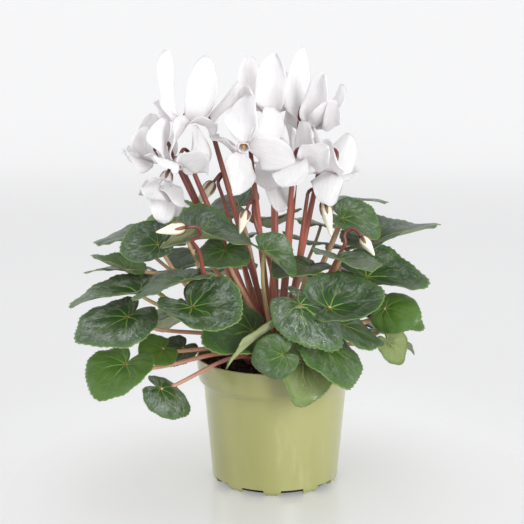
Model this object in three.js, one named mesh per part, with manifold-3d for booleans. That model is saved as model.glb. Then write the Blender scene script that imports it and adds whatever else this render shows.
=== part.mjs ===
// A white-flowered cyclamen in a 12 cm nursery pot: the pot, its soil, the tuber half sunk in it,
// and the leaves, flowers and buds that grow from the tuber's crown.
// Millimetres, +Z up; the origin is the middle of the pot's underside, and the front is towards -Y.

import * as THREE from 'three';
import { mergeVertices } from 'three/addons/utils/BufferGeometryUtils.js';
import Module from 'manifold-3d';

const wasm = await Module();
wasm.setup();

const UP = new THREE.Vector3(0, 0, 1);
const CLEARANCE = 0.3;              // gap left between two pieces that touch

// ---------- Solids ----------

// The geometry's vertices alone, shared between neighbouring faces.
function bareGeometry(geometry) {
  const bare = geometry.clone();
  bare.deleteAttribute('normal');
  bare.deleteAttribute('uv');
  return mergeVertices(bare, 1e-4);
}

function toSolid(geometry) {
  const bare = bareGeometry(geometry);
  return new wasm.Manifold(new wasm.Mesh({
    numProp: 3,
    vertProperties: new Float32Array(bare.attributes.position.array),
    triVerts: new Uint32Array(bare.index.array),
  }));
}

function toGeometry(solid) {
  const mesh = solid.getMesh();
  const geometry = new THREE.BufferGeometry();
  geometry.setAttribute('position', new THREE.BufferAttribute(new Float32Array(mesh.vertProperties), 3));
  geometry.setIndex(new THREE.BufferAttribute(new Uint32Array(mesh.triVerts), 1));
  geometry.computeVertexNormals();
  return geometry;
}

// Turns the closed profile [radius, height] about the Z axis.
function turned(profile, sides) {
  const points = profile.map(([radius, height]) => new THREE.Vector2(radius, height));
  return new THREE.LatheGeometry(points, sides).rotateX(Math.PI / 2);
}

// A solid round rod along a curve.
function rod(curve, radius, sides, steps) {
  const section = new THREE.Shape();
  for (let i = 0; i < sides; i += 1) {
    const angle = (2 * Math.PI * i) / sides;
    const x = radius * Math.cos(angle);
    const y = radius * Math.sin(angle);
    if (i === 0) section.moveTo(x, y);
    else section.lineTo(x, y);
  }
  section.closePath();
  return new THREE.ExtrudeGeometry(section, { steps, bevelEnabled: false, extrudePath: curve });
}

// A thin plate of even thickness: each point of the sheet moved both ways by its half thickness,
// the two faces meshed alike, and a wall run round the sheet's border.
function plate(sheet, halfThicknesses) {
  const corners = Array.from(sheet.index.array);
  const count = sheet.attributes.position.count;
  const points = [];
  for (const side of [1, -1]) {
    for (let i = 0; i < count; i += 1) {
      const point = new THREE.Vector3().fromBufferAttribute(sheet.attributes.position, i);
      points.push(...point.addScaledVector(halfThicknesses[i], side).toArray());
    }
  }
  const edges = new Set();
  const faces = [...corners];
  for (let i = 0; i < corners.length; i += 3) {
    const [a, b, c] = corners.slice(i, i + 3);
    faces.push(count + a, count + c, count + b);
    for (const [from, to] of [[a, b], [b, c], [c, a]]) edges.add(`${from},${to}`);
  }
  for (const edge of edges) {
    const [from, to] = edge.split(',').map(Number);
    if (!edges.has(`${to},${from}`)) {
      faces.push(from, count + from, to);
      faces.push(to, count + from, count + to);
    }
  }
  const geometry = new THREE.BufferGeometry();
  geometry.setAttribute('position', new THREE.Float32BufferAttribute(points, 3));
  geometry.setIndex(faces);
  return geometry;
}

const plant = new THREE.Group();

function addPiece(name, geometry, color, roughness) {
  const material = new THREE.MeshStandardMaterial({ color, roughness, metalness: 0 });
  const mesh = new THREE.Mesh(geometry, material);
  mesh.name = name;
  plant.add(mesh);
}

// ---------- Pot ----------

const POT_HEIGHT = 97;
const POT_WALL = 1.3;
const RIM_RADIUS = 60;              // outside, at the top edge
const BAND_FOOT_RADIUS = 58.5;      // outside, at the lower edge of the rim band
const BAND_HEIGHT = 22;
const SHOULDER_HEIGHT = 4;          // the wall slopes out to the band over this height
const BODY_TOP_RADIUS = 54.3;       // outside, just under the rim band
const BODY_FOOT_RADIUS = 48.4;      // outside, where the wall rounds in to the foot
const FOOT_RADIUS = 45.7;
const FOOT_ROUNDING = 5;
const FLOOR_THICKNESS = 1.4;
const POT_SIDES = 36;

const NOTCH_COUNT = 10;             // raised drain pockets round the foot
const FIRST_NOTCH = -75;            // degrees; the front is at -90
const NOTCH_WIDTH = 20;
const NOTCH_DEPTH = 10;
const NOTCH_HEIGHT = 5;
const NOTCH_SPLAY = 1.5;            // how far each side leans in by its top
const DRAIN_RADIUS = 3;

const BAND_FOOT = POT_HEIGHT - BAND_HEIGHT;
const POCKET_OUTSIDE = BODY_FOOT_RADIUS - 2 * POT_WALL;
const POCKET_INSIDE = FOOT_RADIUS - NOTCH_DEPTH;

// The moulded wall and floor, up the outside from the middle of the underside and down the inside.
function potShell() {
  return toSolid(turned([
    [0, 0],
    [FOOT_RADIUS, 0],
    [FOOT_RADIUS + 1.6, 1],
    [BODY_FOOT_RADIUS - 0.4, 2.8],
    [BODY_FOOT_RADIUS, FOOT_ROUNDING],
    [BODY_TOP_RADIUS, BAND_FOOT],
    [BAND_FOOT_RADIUS - 0.6, BAND_FOOT + SHOULDER_HEIGHT],
    [BAND_FOOT_RADIUS, BAND_FOOT + SHOULDER_HEIGHT + 1],
    [RIM_RADIUS, POT_HEIGHT - 0.6],
    [RIM_RADIUS - 0.5, POT_HEIGHT],
    [RIM_RADIUS - 1, POT_HEIGHT],
    [RIM_RADIUS - POT_WALL, POT_HEIGHT - 0.8],
    [BAND_FOOT_RADIUS - POT_WALL, BAND_FOOT + SHOULDER_HEIGHT + 2],
    [BODY_TOP_RADIUS - POT_WALL, BAND_FOOT + 1],
    [BODY_FOOT_RADIUS - POT_WALL, FOOT_ROUNDING],
    [FOOT_RADIUS - 0.2, FLOOR_THICKNESS],
    [0, FLOOR_THICKNESS],
  ], POT_SIDES));
}

// A block from one radius to another, its sides splayed outwards, at a given place round the foot.
function footBlock(degrees, inner, outer, width, height, foot) {
  const outline = new THREE.Shape();
  outline.moveTo(-width / 2, foot);
  outline.lineTo(width / 2, foot);
  outline.lineTo(width / 2 - NOTCH_SPLAY, height);
  outline.lineTo(-width / 2 + NOTCH_SPLAY, height);
  outline.closePath();
  const block = new THREE.ExtrudeGeometry(outline, { depth: outer - inner, bevelEnabled: false });
  block.rotateX(Math.PI / 2).rotateZ(Math.PI / 2).translate(inner, 0, 0);
  block.rotateZ(THREE.MathUtils.degToRad(degrees));
  return toSolid(block);
}

function drainHole(degrees) {
  const hole = new THREE.CylinderGeometry(DRAIN_RADIUS, DRAIN_RADIUS, 4 * NOTCH_HEIGHT, 6);
  hole.rotateX(Math.PI / 2).translate(POCKET_INSIDE + NOTCH_DEPTH / 2, 0, 0);
  hole.rotateZ(THREE.MathUtils.degToRad(degrees));
  return toSolid(hole);
}

const notchAngles = [];
for (let i = 0; i < NOTCH_COUNT; i += 1) {
  notchAngles.push(FIRST_NOTCH + (360 * i) / NOTCH_COUNT);
}

// The drain pockets as the soil meets them, each grown by a margin.
function pockets(margin) {
  return notchAngles.map((degrees) => footBlock(
    degrees,
    POCKET_INSIDE - POT_WALL - margin,
    POCKET_OUTSIDE + margin,
    NOTCH_WIDTH + 2 * (POT_WALL + margin),
    NOTCH_HEIGHT + POT_WALL + margin,
    FLOOR_THICKNESS / 2,
  ));
}

function pot() {
  let solid = potShell();
  for (const pocket of pockets(0)) solid = solid.add(pocket);
  for (const degrees of notchAngles) {
    const hollow = footBlock(degrees, POCKET_INSIDE, RIM_RADIUS, NOTCH_WIDTH, NOTCH_HEIGHT, -1);
    solid = solid.subtract(hollow);
    solid = solid.subtract(drainHole(degrees));
  }
  return solid;
}

addPiece('pot', toGeometry(pot()), 0xb9b978, 0.45);

// ---------- Tuber and soil ----------

const SOIL_BELOW_RIM = 6;
const SOIL_EDGE_DROP = 1.5;         // the soil sinks a little where it meets the pot
const SOIL_EDGE_WIDTH = 4;
const TUBER_RADIUS = 26;
const TUBER_HALF_HEIGHT = 17;
const TUBER_SUNK = 9;               // how far its middle lies below the soil's surface

const SOIL_TOP = POT_HEIGHT - SOIL_BELOW_RIM;
const TUBER_CENTRE = SOIL_TOP - TUBER_SUNK;

function tuber(margin) {
  const ball = new THREE.SphereGeometry(1, 18, 8).rotateX(Math.PI / 2);
  ball.scale(TUBER_RADIUS + margin, TUBER_RADIUS + margin, TUBER_HALF_HEIGHT + margin);
  return toSolid(ball.translate(0, 0, TUBER_CENTRE));
}

// The soil fills the pot, hollowed round the drain pockets and the tuber.
function soil() {
  const inset = POT_WALL + CLEARANCE + 0.1;
  let solid = toSolid(turned([
    [0, FLOOR_THICKNESS + CLEARANCE],
    [FOOT_RADIUS - 1.5, FLOOR_THICKNESS + CLEARANCE],
    [BODY_FOOT_RADIUS - inset, FOOT_ROUNDING + CLEARANCE],
    [BODY_TOP_RADIUS - inset, BAND_FOOT + 1],
    [BAND_FOOT_RADIUS - inset - 0.2, BAND_FOOT + SHOULDER_HEIGHT + 2.4],
    [RIM_RADIUS - inset - 0.6, SOIL_TOP - SOIL_EDGE_DROP],
    [RIM_RADIUS - inset - SOIL_EDGE_WIDTH, SOIL_TOP],
    [0, SOIL_TOP],
  ], POT_SIDES));
  for (const pocket of pockets(CLEARANCE)) solid = solid.subtract(pocket);
  return solid.subtract(tuber(CLEARANCE));
}

addPiece('tuber', toGeometry(tuber(0)), 0x5a4030, 0.9);
addPiece('soil', toGeometry(soil()), 0x2a1f19, 1);

// ---------- Leaves ----------
// at: where the stalk meets the blade, in the notch of the heart; tip: the blade's point;
// roll: degrees turned about the midrib; cup: degrees each half is lifted at its edge;
// curl: degrees the point hangs down; arch: how far the leaf's stalk is bowed up, where it is.

const LEAVES = [
  { at: [-106, -56, 138], tip: [-137, -80, 121], roll: -14, cup: -3, curl: -12 },
  { at: [-106, -70, 107], tip: [-123, -97, 90], roll: -7, cup: 16, curl: 4 },
  { at: [-82, -48, 113], tip: [-98, -62, 110], roll: -39, cup: -2, curl: -11, arch: 4 },
  { at: [-82, -69, 89], tip: [-58, -68, 75], roll: 30, cup: -45, curl: 28, arch: 4 },
  { at: [-58, -82, 151], tip: [-27, -110, 137], roll: 20, cup: 43, curl: -25, arch: -6 },
  { at: [-85, -37, 188], tip: [-112, -34, 181], roll: -60, cup: 60, curl: -30, arch: -18 },
  { at: [-111, -18, 165], tip: [-138, -7, 172], roll: 2, cup: 33, curl: -14, arch: 32 },
  { at: [-108, 30, 184], tip: [-142, 47, 179], roll: -10, cup: 8, curl: 12 },
  { at: [-108, 14, 159], tip: [-145, 4, 160], roll: 8, cup: 4, curl: 5 },
  { at: [-100, -34, 151], tip: [-151, -32, 145], roll: -3, cup: 21, curl: 4, arch: 8 },
  { at: [-63, -65, 166], tip: [-100, -79, 157], roll: 3, cup: 17, curl: 8, arch: 8 },
  { at: [-75, 28, 193], tip: [-100, 51, 198], roll: -30, cup: 8, curl: 10 },
  { at: [-63, -47, 192], tip: [-18, -52, 202], roll: 11, cup: 60, curl: 31, arch: -6 },
  { at: [-63, -2, 175], tip: [-76, -21, 169], roll: -4, cup: 6, curl: 10 },
  { at: [-37, -44, 184], tip: [-42, -68, 169], roll: -6, cup: -12, curl: -30 },
  { at: [-8, -62, 187], tip: [14, -64, 171], roll: 21, cup: 60, curl: 0 },
  { at: [-17, -64, 130], tip: [-49, -91, 128], roll: -30, cup: 24, curl: 10 },
  { at: [4, -103, 123], tip: [-18, -106, 114], roll: -89, cup: -22, curl: 50, arch: 2 },
  { at: [16, -88, 154], tip: [46, -102, 131], roll: 16, cup: -45, curl: 17 },
  { at: [33, -68, 122], tip: [45, -100, 97], roll: -22, cup: 2, curl: 0, arch: 6 },
  { at: [19, -61, 107], tip: [16, -83, 81], roll: -35, cup: 29, curl: 3 },
  { at: [37, -80, 150], tip: [74, -62, 153], roll: 28, cup: 42, curl: -25, arch: 26 },
  { at: [23, -40, 172], tip: [-1, -62, 170], roll: -6, cup: 14, curl: 8 },
  { at: [46, -50, 179], tip: [60, -84, 173], roll: -10, cup: 14, curl: -14 },
  { at: [49, -52, 131], tip: [77, -46, 114], roll: 20, cup: -4, curl: -8, arch: 4 },
  { at: [81, -30, 139], tip: [103, -46, 138], roll: 51, cup: -45, curl: 26 },
  { at: [68, -19, 160], tip: [114, -15, 156], roll: 22, cup: 40, curl: 5 },
  { at: [50, -6, 202], tip: [76, -18, 189], roll: 25, cup: 41, curl: -3 },
  { at: [54, 29, 210], tip: [88, 41, 210], roll: -4, cup: 6, curl: 8 },
  { at: [77, 7, 183], tip: [126, 29, 193], roll: 1, cup: 23, curl: 3 },
  { at: [58, 62, 150], tip: [88, 94, 142], roll: 0, cup: -6, curl: 16 },
  { at: [-40, 70, 150], tip: [-62, 108, 140], roll: 0, cup: -6, curl: 16 },
];

const BLADE_THICKNESS = 0.7;
const BLADE_HALF_WIDTH = 0.66;       // as a share of the length from notch to point
const BLADE_SECTORS = 16;
const BLADE_BANDS = 2;

// Outline of a heart-shaped blade: distance from the notch to the edge, for a blade one unit long
// from notch to point. The angle is 0 at the point and pi in the notch.
function heartReach(angle) {
  const body = BLADE_HALF_WIDTH + 0.19 * Math.cos(angle) + 0.15 * Math.exp(-((angle / 0.33) ** 2));
  const notch = 1 - 0.93 * Math.exp(-(((Math.PI - Math.abs(angle)) / 0.3) ** 2));
  return body * notch;
}

// A straight run bent into an arc: how far it gets along, and how far it leaves the straight.
function bent(distance, curvature) {
  if (Math.abs(curvature) < 1e-6) return [distance, 0];
  const angle = distance * curvature;
  return [Math.sin(angle) / curvature, (1 - Math.cos(angle)) / curvature];
}

// The blade's own axes: along the midrib, out of the upper face, and across.
function bladeAxes(leaf) {
  const at = new THREE.Vector3(...leaf.at);
  const along = new THREE.Vector3(...leaf.tip).sub(at);
  const length = along.length();
  along.normalize();
  const face = UP.clone().addScaledVector(along, -UP.dot(along)).normalize();
  face.applyAxisAngle(along, THREE.MathUtils.degToRad(leaf.roll));
  const across = new THREE.Vector3().crossVectors(along, face);
  return { at, along, face, across, length };
}

// A disc drawn out to the heart's outline, cupped and curled, and given its thickness.
function bladeGeometry(leaf) {
  const { at, along, face, across, length } = bladeAxes(leaf);
  const cupCurvature = THREE.MathUtils.degToRad(leaf.cup) / (BLADE_HALF_WIDTH * length);
  const curlCurvature = THREE.MathUtils.degToRad(leaf.curl) / length;
  const dome = new THREE.SphereGeometry(1, BLADE_SECTORS, BLADE_BANDS, 0, 2 * Math.PI, 0, Math.PI / 2);
  const sheet = bareGeometry(dome);
  const position = sheet.attributes.position;
  for (let i = 0; i < position.count; i += 1) {
    const x = position.getX(i);
    const z = position.getZ(i);
    const angle = Math.atan2(z, x);
    const reach = heartReach(angle) * length * Math.hypot(x, z);
    const [forward, dip] = bent(reach * Math.cos(angle), curlCurvature);
    const [sideways, rise] = bent(reach * Math.sin(angle), cupCurvature);
    const point = at.clone().addScaledVector(along, forward);
    point.addScaledVector(across, sideways).addScaledVector(face, rise - dip);
    position.setXYZ(i, point.x, point.y, point.z);
  }
  return plate(sheet, Array(position.count).fill(face.multiplyScalar(BLADE_THICKNESS / 2)));
}

// ---------- Flowers and buds ----------
// mouth: the flower's throat; axis: the way its swept-back petals stand;
// stalkSide: the side its stalk comes up on; tips: each petal's tip, measured from the throat.

const FLOWERS = [
  {
    mouth: [-64, -4, 274],
    axis: [0.1, 0.2, 1],
    stalkSide: [1, 0.3, 0],
    tips: [[-15, 0, 52], [14, -4, 48], [37, 8, 28], [-20, -25, 16], [20, -24, 0]],
  },
  {
    mouth: [-92, 2, 244],
    axis: [0.2, 0.2, 1],
    stalkSide: [1, 0.3, 0],
    tips: [[-16, -29, 7], [0, 20, 34], [17, 22, 30], [-19, 28, 12], [-2, -30, 26]],
  },
  {
    mouth: [-70, -44, 245],
    axis: [0.2, 0.6, 0.8],
    stalkSide: [0.6, 1, 0],
    tips: [[5, 22, 33], [24, -22, 8], [-12, 22, 31], [15, 21, 27], [-16, -28, 8]],
  },
  {
    mouth: [-80, -22, 232],
    axis: [0.3, 0.2, 1],
    stalkSide: [1, 0.6, 0],
    tips: [[-9, -33, -12], [-2, -20, -28], [3, 22, -28], [13, -28, -16], [-18, 26, -14]],
  },
  {
    mouth: [-23, -44, 258],
    axis: [0, 0.8, 0.4],
    stalkSide: [0.2, 1, 0],
    tips: [[1, 18, 38], [-17, 34, 6], [-5, -25, -28], [23, 25, 25], [34, -20, -7]],
  },
  {
    mouth: [0, -8, 244],
    axis: [0, 0.6, 0.6],
    stalkSide: [0, 1, 0],
    tips: [[-7, 28, 30], [12, 30, 27], [3, -22, -33], [-6, -37, -18], [-22, 28, 3]],
  },
  {
    mouth: [17, -50, 246],
    axis: [0, 0.6, 0.7],
    stalkSide: [-0.3, 1, 0],
    tips: [[2, 30, 29], [13, 32, 25], [-14, 34, 16], [17, -31, 14], [-11, -35, -11]],
  },
  {
    mouth: [-6, 14, 280],
    axis: [0.1, 0.2, 1],
    stalkSide: [0.3, 1, 0],
    tips: [[-14, 16, 41], [6, -16, 43], [25, 28, 20], [13, 34, 29], [-16, -32, 17]],
  },
  {
    mouth: [28, 4, 269],
    axis: [0.2, 0.2, 1],
    stalkSide: [-1, -0.2, 0],
    tips: [[-9, 21, 58], [8, -21, 40], [24, 26, 30], [15, -32, 19], [-12, 34, 21]],
  },
  {
    mouth: [42, -12, 237],
    axis: [0.3, 0.2, 0.9],
    stalkSide: [-1, 0.3, 0],
    tips: [[-11, 30, 24], [13, 27, 27], [15, 32, 3], [-3, -31, 26], [-9, -32, -20]],
  },
];

// at: the bud's neck; tip: its point; stalkSide: the side its stalk comes up on;
// bow: how far its stalk bends aside on the way up, where it does.

const BUDS = [
  {
    at: [-62, -82, 207],
    tip: [-82, -86, 204],
    stalkSide: [0.3, 0.6, -1],
    bow: [-8, -2, -12],
  },
  { at: [-21, -38, 213], tip: [-26, -42, 198], stalkSide: [0.4, 1, 0], bow: [6, -12, 0] },
  { at: [35, -30, 219], tip: [40, -36, 193], stalkSide: [-1, 0, 0] },
  { at: [62, -34, 193], tip: [71, -40, 180], stalkSide: [-1, 0.3, 0] },
  { at: [-46, -1, 229], tip: [-60, -7, 210], stalkSide: [0.3, 1, 0] },
];

const PETAL_WIDTH = 21;
const PETAL_THICKNESS = 0.7;
const PETAL_SPREAD = 8;             // how far a petal runs outwards before it turns up
const PETAL_DIP = 2;                // and how far below the throat it first hangs
const PETAL_FOOT = 0.3;             // how wide its foot and its blunt tip are, as shares of the width
const PETAL_TIP = 0.35;
const PETAL_WIDEST = 0.6;           // and how far along it is widest
const PETAL_STRIPS = 2;
const PETAL_BANDS = 4;
const THROAT_RADIUS = 4.2;
const TUBE_HEIGHT = 7;

// Half the petal's width, as a share of its widest half, from its foot (0) to its tip (1): it
// widens steadily to past the middle, then rounds off to a blunt tip.
function petalReach(share) {
  const widening = PETAL_FOOT + (1 - PETAL_FOOT) * Math.sin(Math.PI / 2 * share / PETAL_WIDEST);
  const rounding = (share - PETAL_WIDEST) / (1 - PETAL_WIDEST);
  return share < PETAL_WIDEST ? widening : 1 - (1 - PETAL_TIP) * rounding ** 2.5;
}

// The flower's own axes: the way the petals stand, the side its stalk comes up, and across.
function flowerAxes(flower) {
  const mouth = new THREE.Vector3(...flower.mouth);
  const axis = new THREE.Vector3(...flower.axis).normalize();
  const inward = new THREE.Vector3(...flower.stalkSide);
  const stalkSide = inward.addScaledVector(axis, -inward.dot(axis)).normalize();
  return { mouth, axis, stalkSide };
}

// One petal: a strip along a curve from the throat, out and back up to its tip.
function petalGeometry(flower, offset) {
  const { mouth, axis } = flowerAxes(flower);
  const toTip = new THREE.Vector3(...offset);
  const outward = toTip.clone().addScaledVector(axis, -toTip.dot(axis)).normalize();
  const foot = mouth.clone().addScaledVector(outward, THROAT_RADIUS);
  const bend = foot.clone();
  bend.addScaledVector(outward, PETAL_SPREAD).addScaledVector(axis, -PETAL_DIP);
  const spine = new THREE.QuadraticBezierCurve3(foot, bend, mouth.clone().add(toTip));
  const across = new THREE.Vector3().crossVectors(axis, outward);
  const sheet = bareGeometry(new THREE.PlaneGeometry(2, 1, PETAL_STRIPS, PETAL_BANDS));
  const position = sheet.attributes.position;
  const halfThicknesses = [];
  for (let i = 0; i < position.count; i += 1) {
    const share = 0.5 + position.getY(i);
    const halfWidth = petalReach(share) * PETAL_WIDTH / 2;
    const point = spine.getPoint(share).addScaledVector(across, position.getX(i) * halfWidth);
    position.setXYZ(i, point.x, point.y, point.z);
    const face = new THREE.Vector3().crossVectors(across, spine.getTangent(share));
    halfThicknesses.push(face.setLength(PETAL_THICKNESS / 2));
  }
  return plate(sheet, halfThicknesses);
}

// The short urn that the petals spread from, open at the throat.
function flowerTube(flower) {
  const { mouth, axis } = flowerAxes(flower);
  const urn = turned([
    [0, TUBE_HEIGHT - 1],
    [2.4, TUBE_HEIGHT - 2],
    [THROAT_RADIUS - 0.8, 2],
    [THROAT_RADIUS - 0.6, -0.4],
    [THROAT_RADIUS + 0.5, -0.4],
    [THROAT_RADIUS + 0.3, 2.4],
    [3, TUBE_HEIGHT - 0.8],
    [0, TUBE_HEIGHT],
  ], 7);
  urn.applyQuaternion(new THREE.Quaternion().setFromUnitVectors(UP, axis));
  return toSolid(urn.translate(mouth.x, mouth.y, mouth.z));
}

// The urn and its petals, which are one piece on a cyclamen.
function corolla(flower) {
  let solid = flowerTube(flower);
  for (const offset of flower.tips) solid = solid.add(toSolid(petalGeometry(flower, offset)));
  return solid;
}

const HOOK_RADIUS = 6;
const HOOK_LIFT = 0.6;              // straight part above the neck, in hook radii

// Points of the hook that carries a nodding flower or bud: from below its neck, over, and into it.
function hookPoints(seat, axis, stalkSide) {
  const points = [];
  for (const degrees of [180, 135, 90, 45]) {
    const angle = THREE.MathUtils.degToRad(degrees);
    const point = seat.clone().addScaledVector(axis, HOOK_RADIUS * (HOOK_LIFT + Math.sin(angle)));
    points.push(point.addScaledVector(stalkSide, HOOK_RADIUS * (1 - Math.cos(angle))));
  }
  return points;
}

// ---------- Crown ----------

const CROWN_RADIUS = 21;
const CROWN_BUNCHING = 0.8;         // below 1 the steep stalks stand further from the middle
const STALK_SPACING = 4.6;
const JOSTLES = 200;

// Where on the crown each stalk stands: the steeper it rises, the nearer the middle, on the side
// it leads to; then the stalks jostle until none stands closer to another than their spacing.
function standOnCrown(ends) {
  const feet = ends.map((end) => {
    const spread = Math.hypot(end.x, end.y);
    const lean = Math.atan2(spread, end.z - SOIL_TOP) / (Math.PI / 2);
    const radius = CROWN_RADIUS * Math.min(1, lean) ** CROWN_BUNCHING;
    return new THREE.Vector2(radius * end.x / spread, radius * end.y / spread);
  });
  for (let pass = 0; pass < JOSTLES; pass += 1) {
    for (let i = 0; i < feet.length; i += 1) {
      for (let j = i + 1; j < feet.length; j += 1) {
        const apart = feet[j].clone().sub(feet[i]);
        const short = STALK_SPACING - apart.length();
        if (short > 0) {
          apart.setLength(short / 2);
          feet[i].sub(apart);
          feet[j].add(apart);
        }
      }
      feet[i].clampLength(0, CROWN_RADIUS);
    }
  }
  return feet;
}

// The tuber's surface above a foot, and the way it faces there.
function crownSeat(foot) {
  const share = foot.length() / TUBER_RADIUS;
  const height = TUBER_HALF_HEIGHT * Math.sqrt(1 - share * share);
  const facing = new THREE.Vector3(
    foot.x / TUBER_RADIUS ** 2,
    foot.y / TUBER_RADIUS ** 2,
    height / TUBER_HALF_HEIGHT ** 2,
  ).normalize();
  const seat = new THREE.Vector3(foot.x, foot.y, TUBER_CENTRE + height);
  return { seat: seat.addScaledVector(facing, CLEARANCE + 0.05), facing };
}

const PETIOLE_RADIUS = 1.4;
const PETIOLE_SPRING = 0.35;        // share of its reach a leaf stalk runs straight at each end
const PETIOLE_LIFT = 0.6;           // how steeply it meets the blade
const PETIOLE_SIDES = 5;
const PETIOLE_STEPS = 5;

// A leaf stalk: straight out of the crown, over, and up to the notch of the blade.
function petiole(leaf, foot) {
  const { at, along, face } = bladeAxes(leaf);
  const { seat, facing } = crownSeat(foot);
  const chord = at.clone().sub(seat);
  const spring = PETIOLE_SPRING * chord.length();
  const arrive = chord.normalize().addScaledVector(face, PETIOLE_LIFT).normalize();
  const arch = leaf.arch ?? 0;
  const curve = new THREE.CubicBezierCurve3(
    seat,
    seat.clone().addScaledVector(facing, spring).addScaledVector(UP, arch),
    at.clone().addScaledVector(arrive, -spring).addScaledVector(UP, arch),
    at,
  );
  return toSolid(rod(curve, PETIOLE_RADIUS, PETIOLE_SIDES, PETIOLE_STEPS));
}

const FLOWER_STALK_RADIUS = 1.7;
const FLOWER_STALK_SIDES = 5;
const FLOWER_STALK_STEPS = 14;
const STALK_SPRING = 10;            // straight run out of the crown, and again below the hook
const STALK_MIDDLE = 0.55;          // share of the rise at which a stalk bellies out most
const STALK_BELLY = 6;

// A flower or bud stalk: out of the crown, up with a slight belly, and over the hook to the neck.
function flowerStalk({ neck, axis, stalkSide, bow }, foot, margin) {
  const { seat, facing } = crownSeat(foot);
  const hook = hookPoints(neck, axis, stalkSide);
  const rise = hook[0].clone().sub(seat);
  const middle = seat.clone().addScaledVector(rise, STALK_MIDDLE);
  middle.addScaledVector(facing, STALK_BELLY).add(bow);
  const curve = new THREE.CatmullRomCurve3([
    seat,
    seat.clone().addScaledVector(facing, STALK_SPRING),
    middle,
    hook[0].clone().addScaledVector(rise.normalize(), -STALK_SPRING),
    ...hook,
    neck,
  ]);
  const radius = FLOWER_STALK_RADIUS + margin;
  return toSolid(rod(curve, radius, FLOWER_STALK_SIDES, FLOWER_STALK_STEPS));
}

const CALYX_CLEARANCE = TUBE_HEIGHT + CLEARANCE + 0.1;

// What each stalk carries: its neck, the way the flower or bud stands there, and the stalk's side.
const flowerNecks = FLOWERS.map((flower) => {
  const { mouth, axis, stalkSide } = flowerAxes(flower);
  const neck = mouth.clone().addScaledVector(axis, CALYX_CLEARANCE);
  return { neck, axis, stalkSide, bow: new THREE.Vector3() };
});

const budNecks = BUDS.map((bud) => {
  const neck = new THREE.Vector3(...bud.at);
  const axis = neck.clone().sub(new THREE.Vector3(...bud.tip)).normalize();
  const inward = new THREE.Vector3(...bud.stalkSide);
  const stalkSide = inward.addScaledVector(axis, -inward.dot(axis)).normalize();
  return { neck, axis, stalkSide, bow: new THREE.Vector3(...(bud.bow ?? [0, 0, 0])) };
});

const BUD_RADIUS = 4.2;
const BUD_SIDES = 8;

// A closed bud: a spindle widest a third of the way down, with a drawn-out point.
function budBody(bud, { neck, axis }) {
  const length = neck.distanceTo(new THREE.Vector3(...bud.tip));
  const spindle = turned([
    [0, -length],
    [1.2, -0.8 * length],
    [BUD_RADIUS, -0.3 * length],
    [0.8 * BUD_RADIUS, -0.08 * length],
    [0, 0.06 * length],
  ], BUD_SIDES);
  spindle.applyQuaternion(new THREE.Quaternion().setFromUnitVectors(UP, axis));
  return toSolid(spindle.translate(neck.x, neck.y, neck.z));
}

// ---------- Putting the plant together ----------

const feet = standOnCrown([
  ...LEAVES.map((leaf) => new THREE.Vector3(...leaf.at)),
  ...flowerNecks.map(({ neck }) => neck),
  ...budNecks.map(({ neck }) => neck),
]);

function numbered(name, index) {
  return `${name}_${String(index + 1).padStart(2, '0')}`;
}

LEAVES.forEach((leaf, i) => {
  const solid = toSolid(bladeGeometry(leaf)).add(petiole(leaf, feet[i]));
  addPiece(numbered('leaf', i), toGeometry(solid), 0x3f6b3c, 0.5);
});

FLOWERS.forEach((flower, i) => {
  const foot = feet[LEAVES.length + i];
  const stalk = flowerStalk(flowerNecks[i], foot, 0);
  const cleared = corolla(flower).subtract(flowerStalk(flowerNecks[i], foot, CLEARANCE));
  addPiece(numbered('flower_stalk', i), toGeometry(stalk), 0x8a4a3c, 0.6);
  addPiece(numbered('corolla', i), toGeometry(cleared), 0xf6f0f2, 0.7);
});

BUDS.forEach((bud, i) => {
  const foot = feet[LEAVES.length + FLOWERS.length + i];
  const solid = flowerStalk(budNecks[i], foot, 0).add(budBody(bud, budNecks[i]));
  addPiece(numbered('bud', i), toGeometry(solid), 0xe9dfd0, 0.6);
});

export default plant;
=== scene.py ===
import math

import bmesh
import bpy
import numpy as np
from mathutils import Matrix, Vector, noise


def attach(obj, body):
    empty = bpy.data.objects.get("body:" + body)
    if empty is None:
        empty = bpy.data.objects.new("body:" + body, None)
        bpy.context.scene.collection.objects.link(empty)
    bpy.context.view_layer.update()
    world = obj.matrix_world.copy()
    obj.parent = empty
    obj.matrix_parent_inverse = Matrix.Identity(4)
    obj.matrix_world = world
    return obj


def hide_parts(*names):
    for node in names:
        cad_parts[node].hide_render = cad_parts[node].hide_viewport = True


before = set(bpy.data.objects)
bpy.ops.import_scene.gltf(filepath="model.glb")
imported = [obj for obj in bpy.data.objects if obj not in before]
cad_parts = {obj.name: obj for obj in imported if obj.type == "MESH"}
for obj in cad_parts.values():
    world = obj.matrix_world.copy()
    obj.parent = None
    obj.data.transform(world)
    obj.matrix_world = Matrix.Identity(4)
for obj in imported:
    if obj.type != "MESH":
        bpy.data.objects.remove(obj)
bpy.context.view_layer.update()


# ---------- The nursery pot ----------
# A thin-walled round pot, injection-moulded in pale yellow-green polypropylene. A sloped shoulder
# carries the wall out to a plain rim band, and ten drain pockets are pressed up into the rounded
# foot, each with a hole in its roof.

MM = 0.001
POT_HEIGHT = 97
POT_WALL = 1.3
RIM_RADIUS = 60
BAND_FOOT_RADIUS = 58.5
BAND_FOOT = 75
SHOULDER = 4
BODY_TOP_RADIUS = 54.3
BODY_FOOT_RADIUS = 48.4
FOOT_RADIUS = 45.7
FOOT_ROUNDING = 5
FLOOR = 1.4
NOTCHES = 10
FIRST_NOTCH = -75
NOTCH_WIDTH = 20
NOTCH_DEPTH = 10
NOTCH_HEIGHT = 5
NOTCH_DRAFT = 1.5
DRAIN_RADIUS = 3
POT_SIDES = 160


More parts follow.
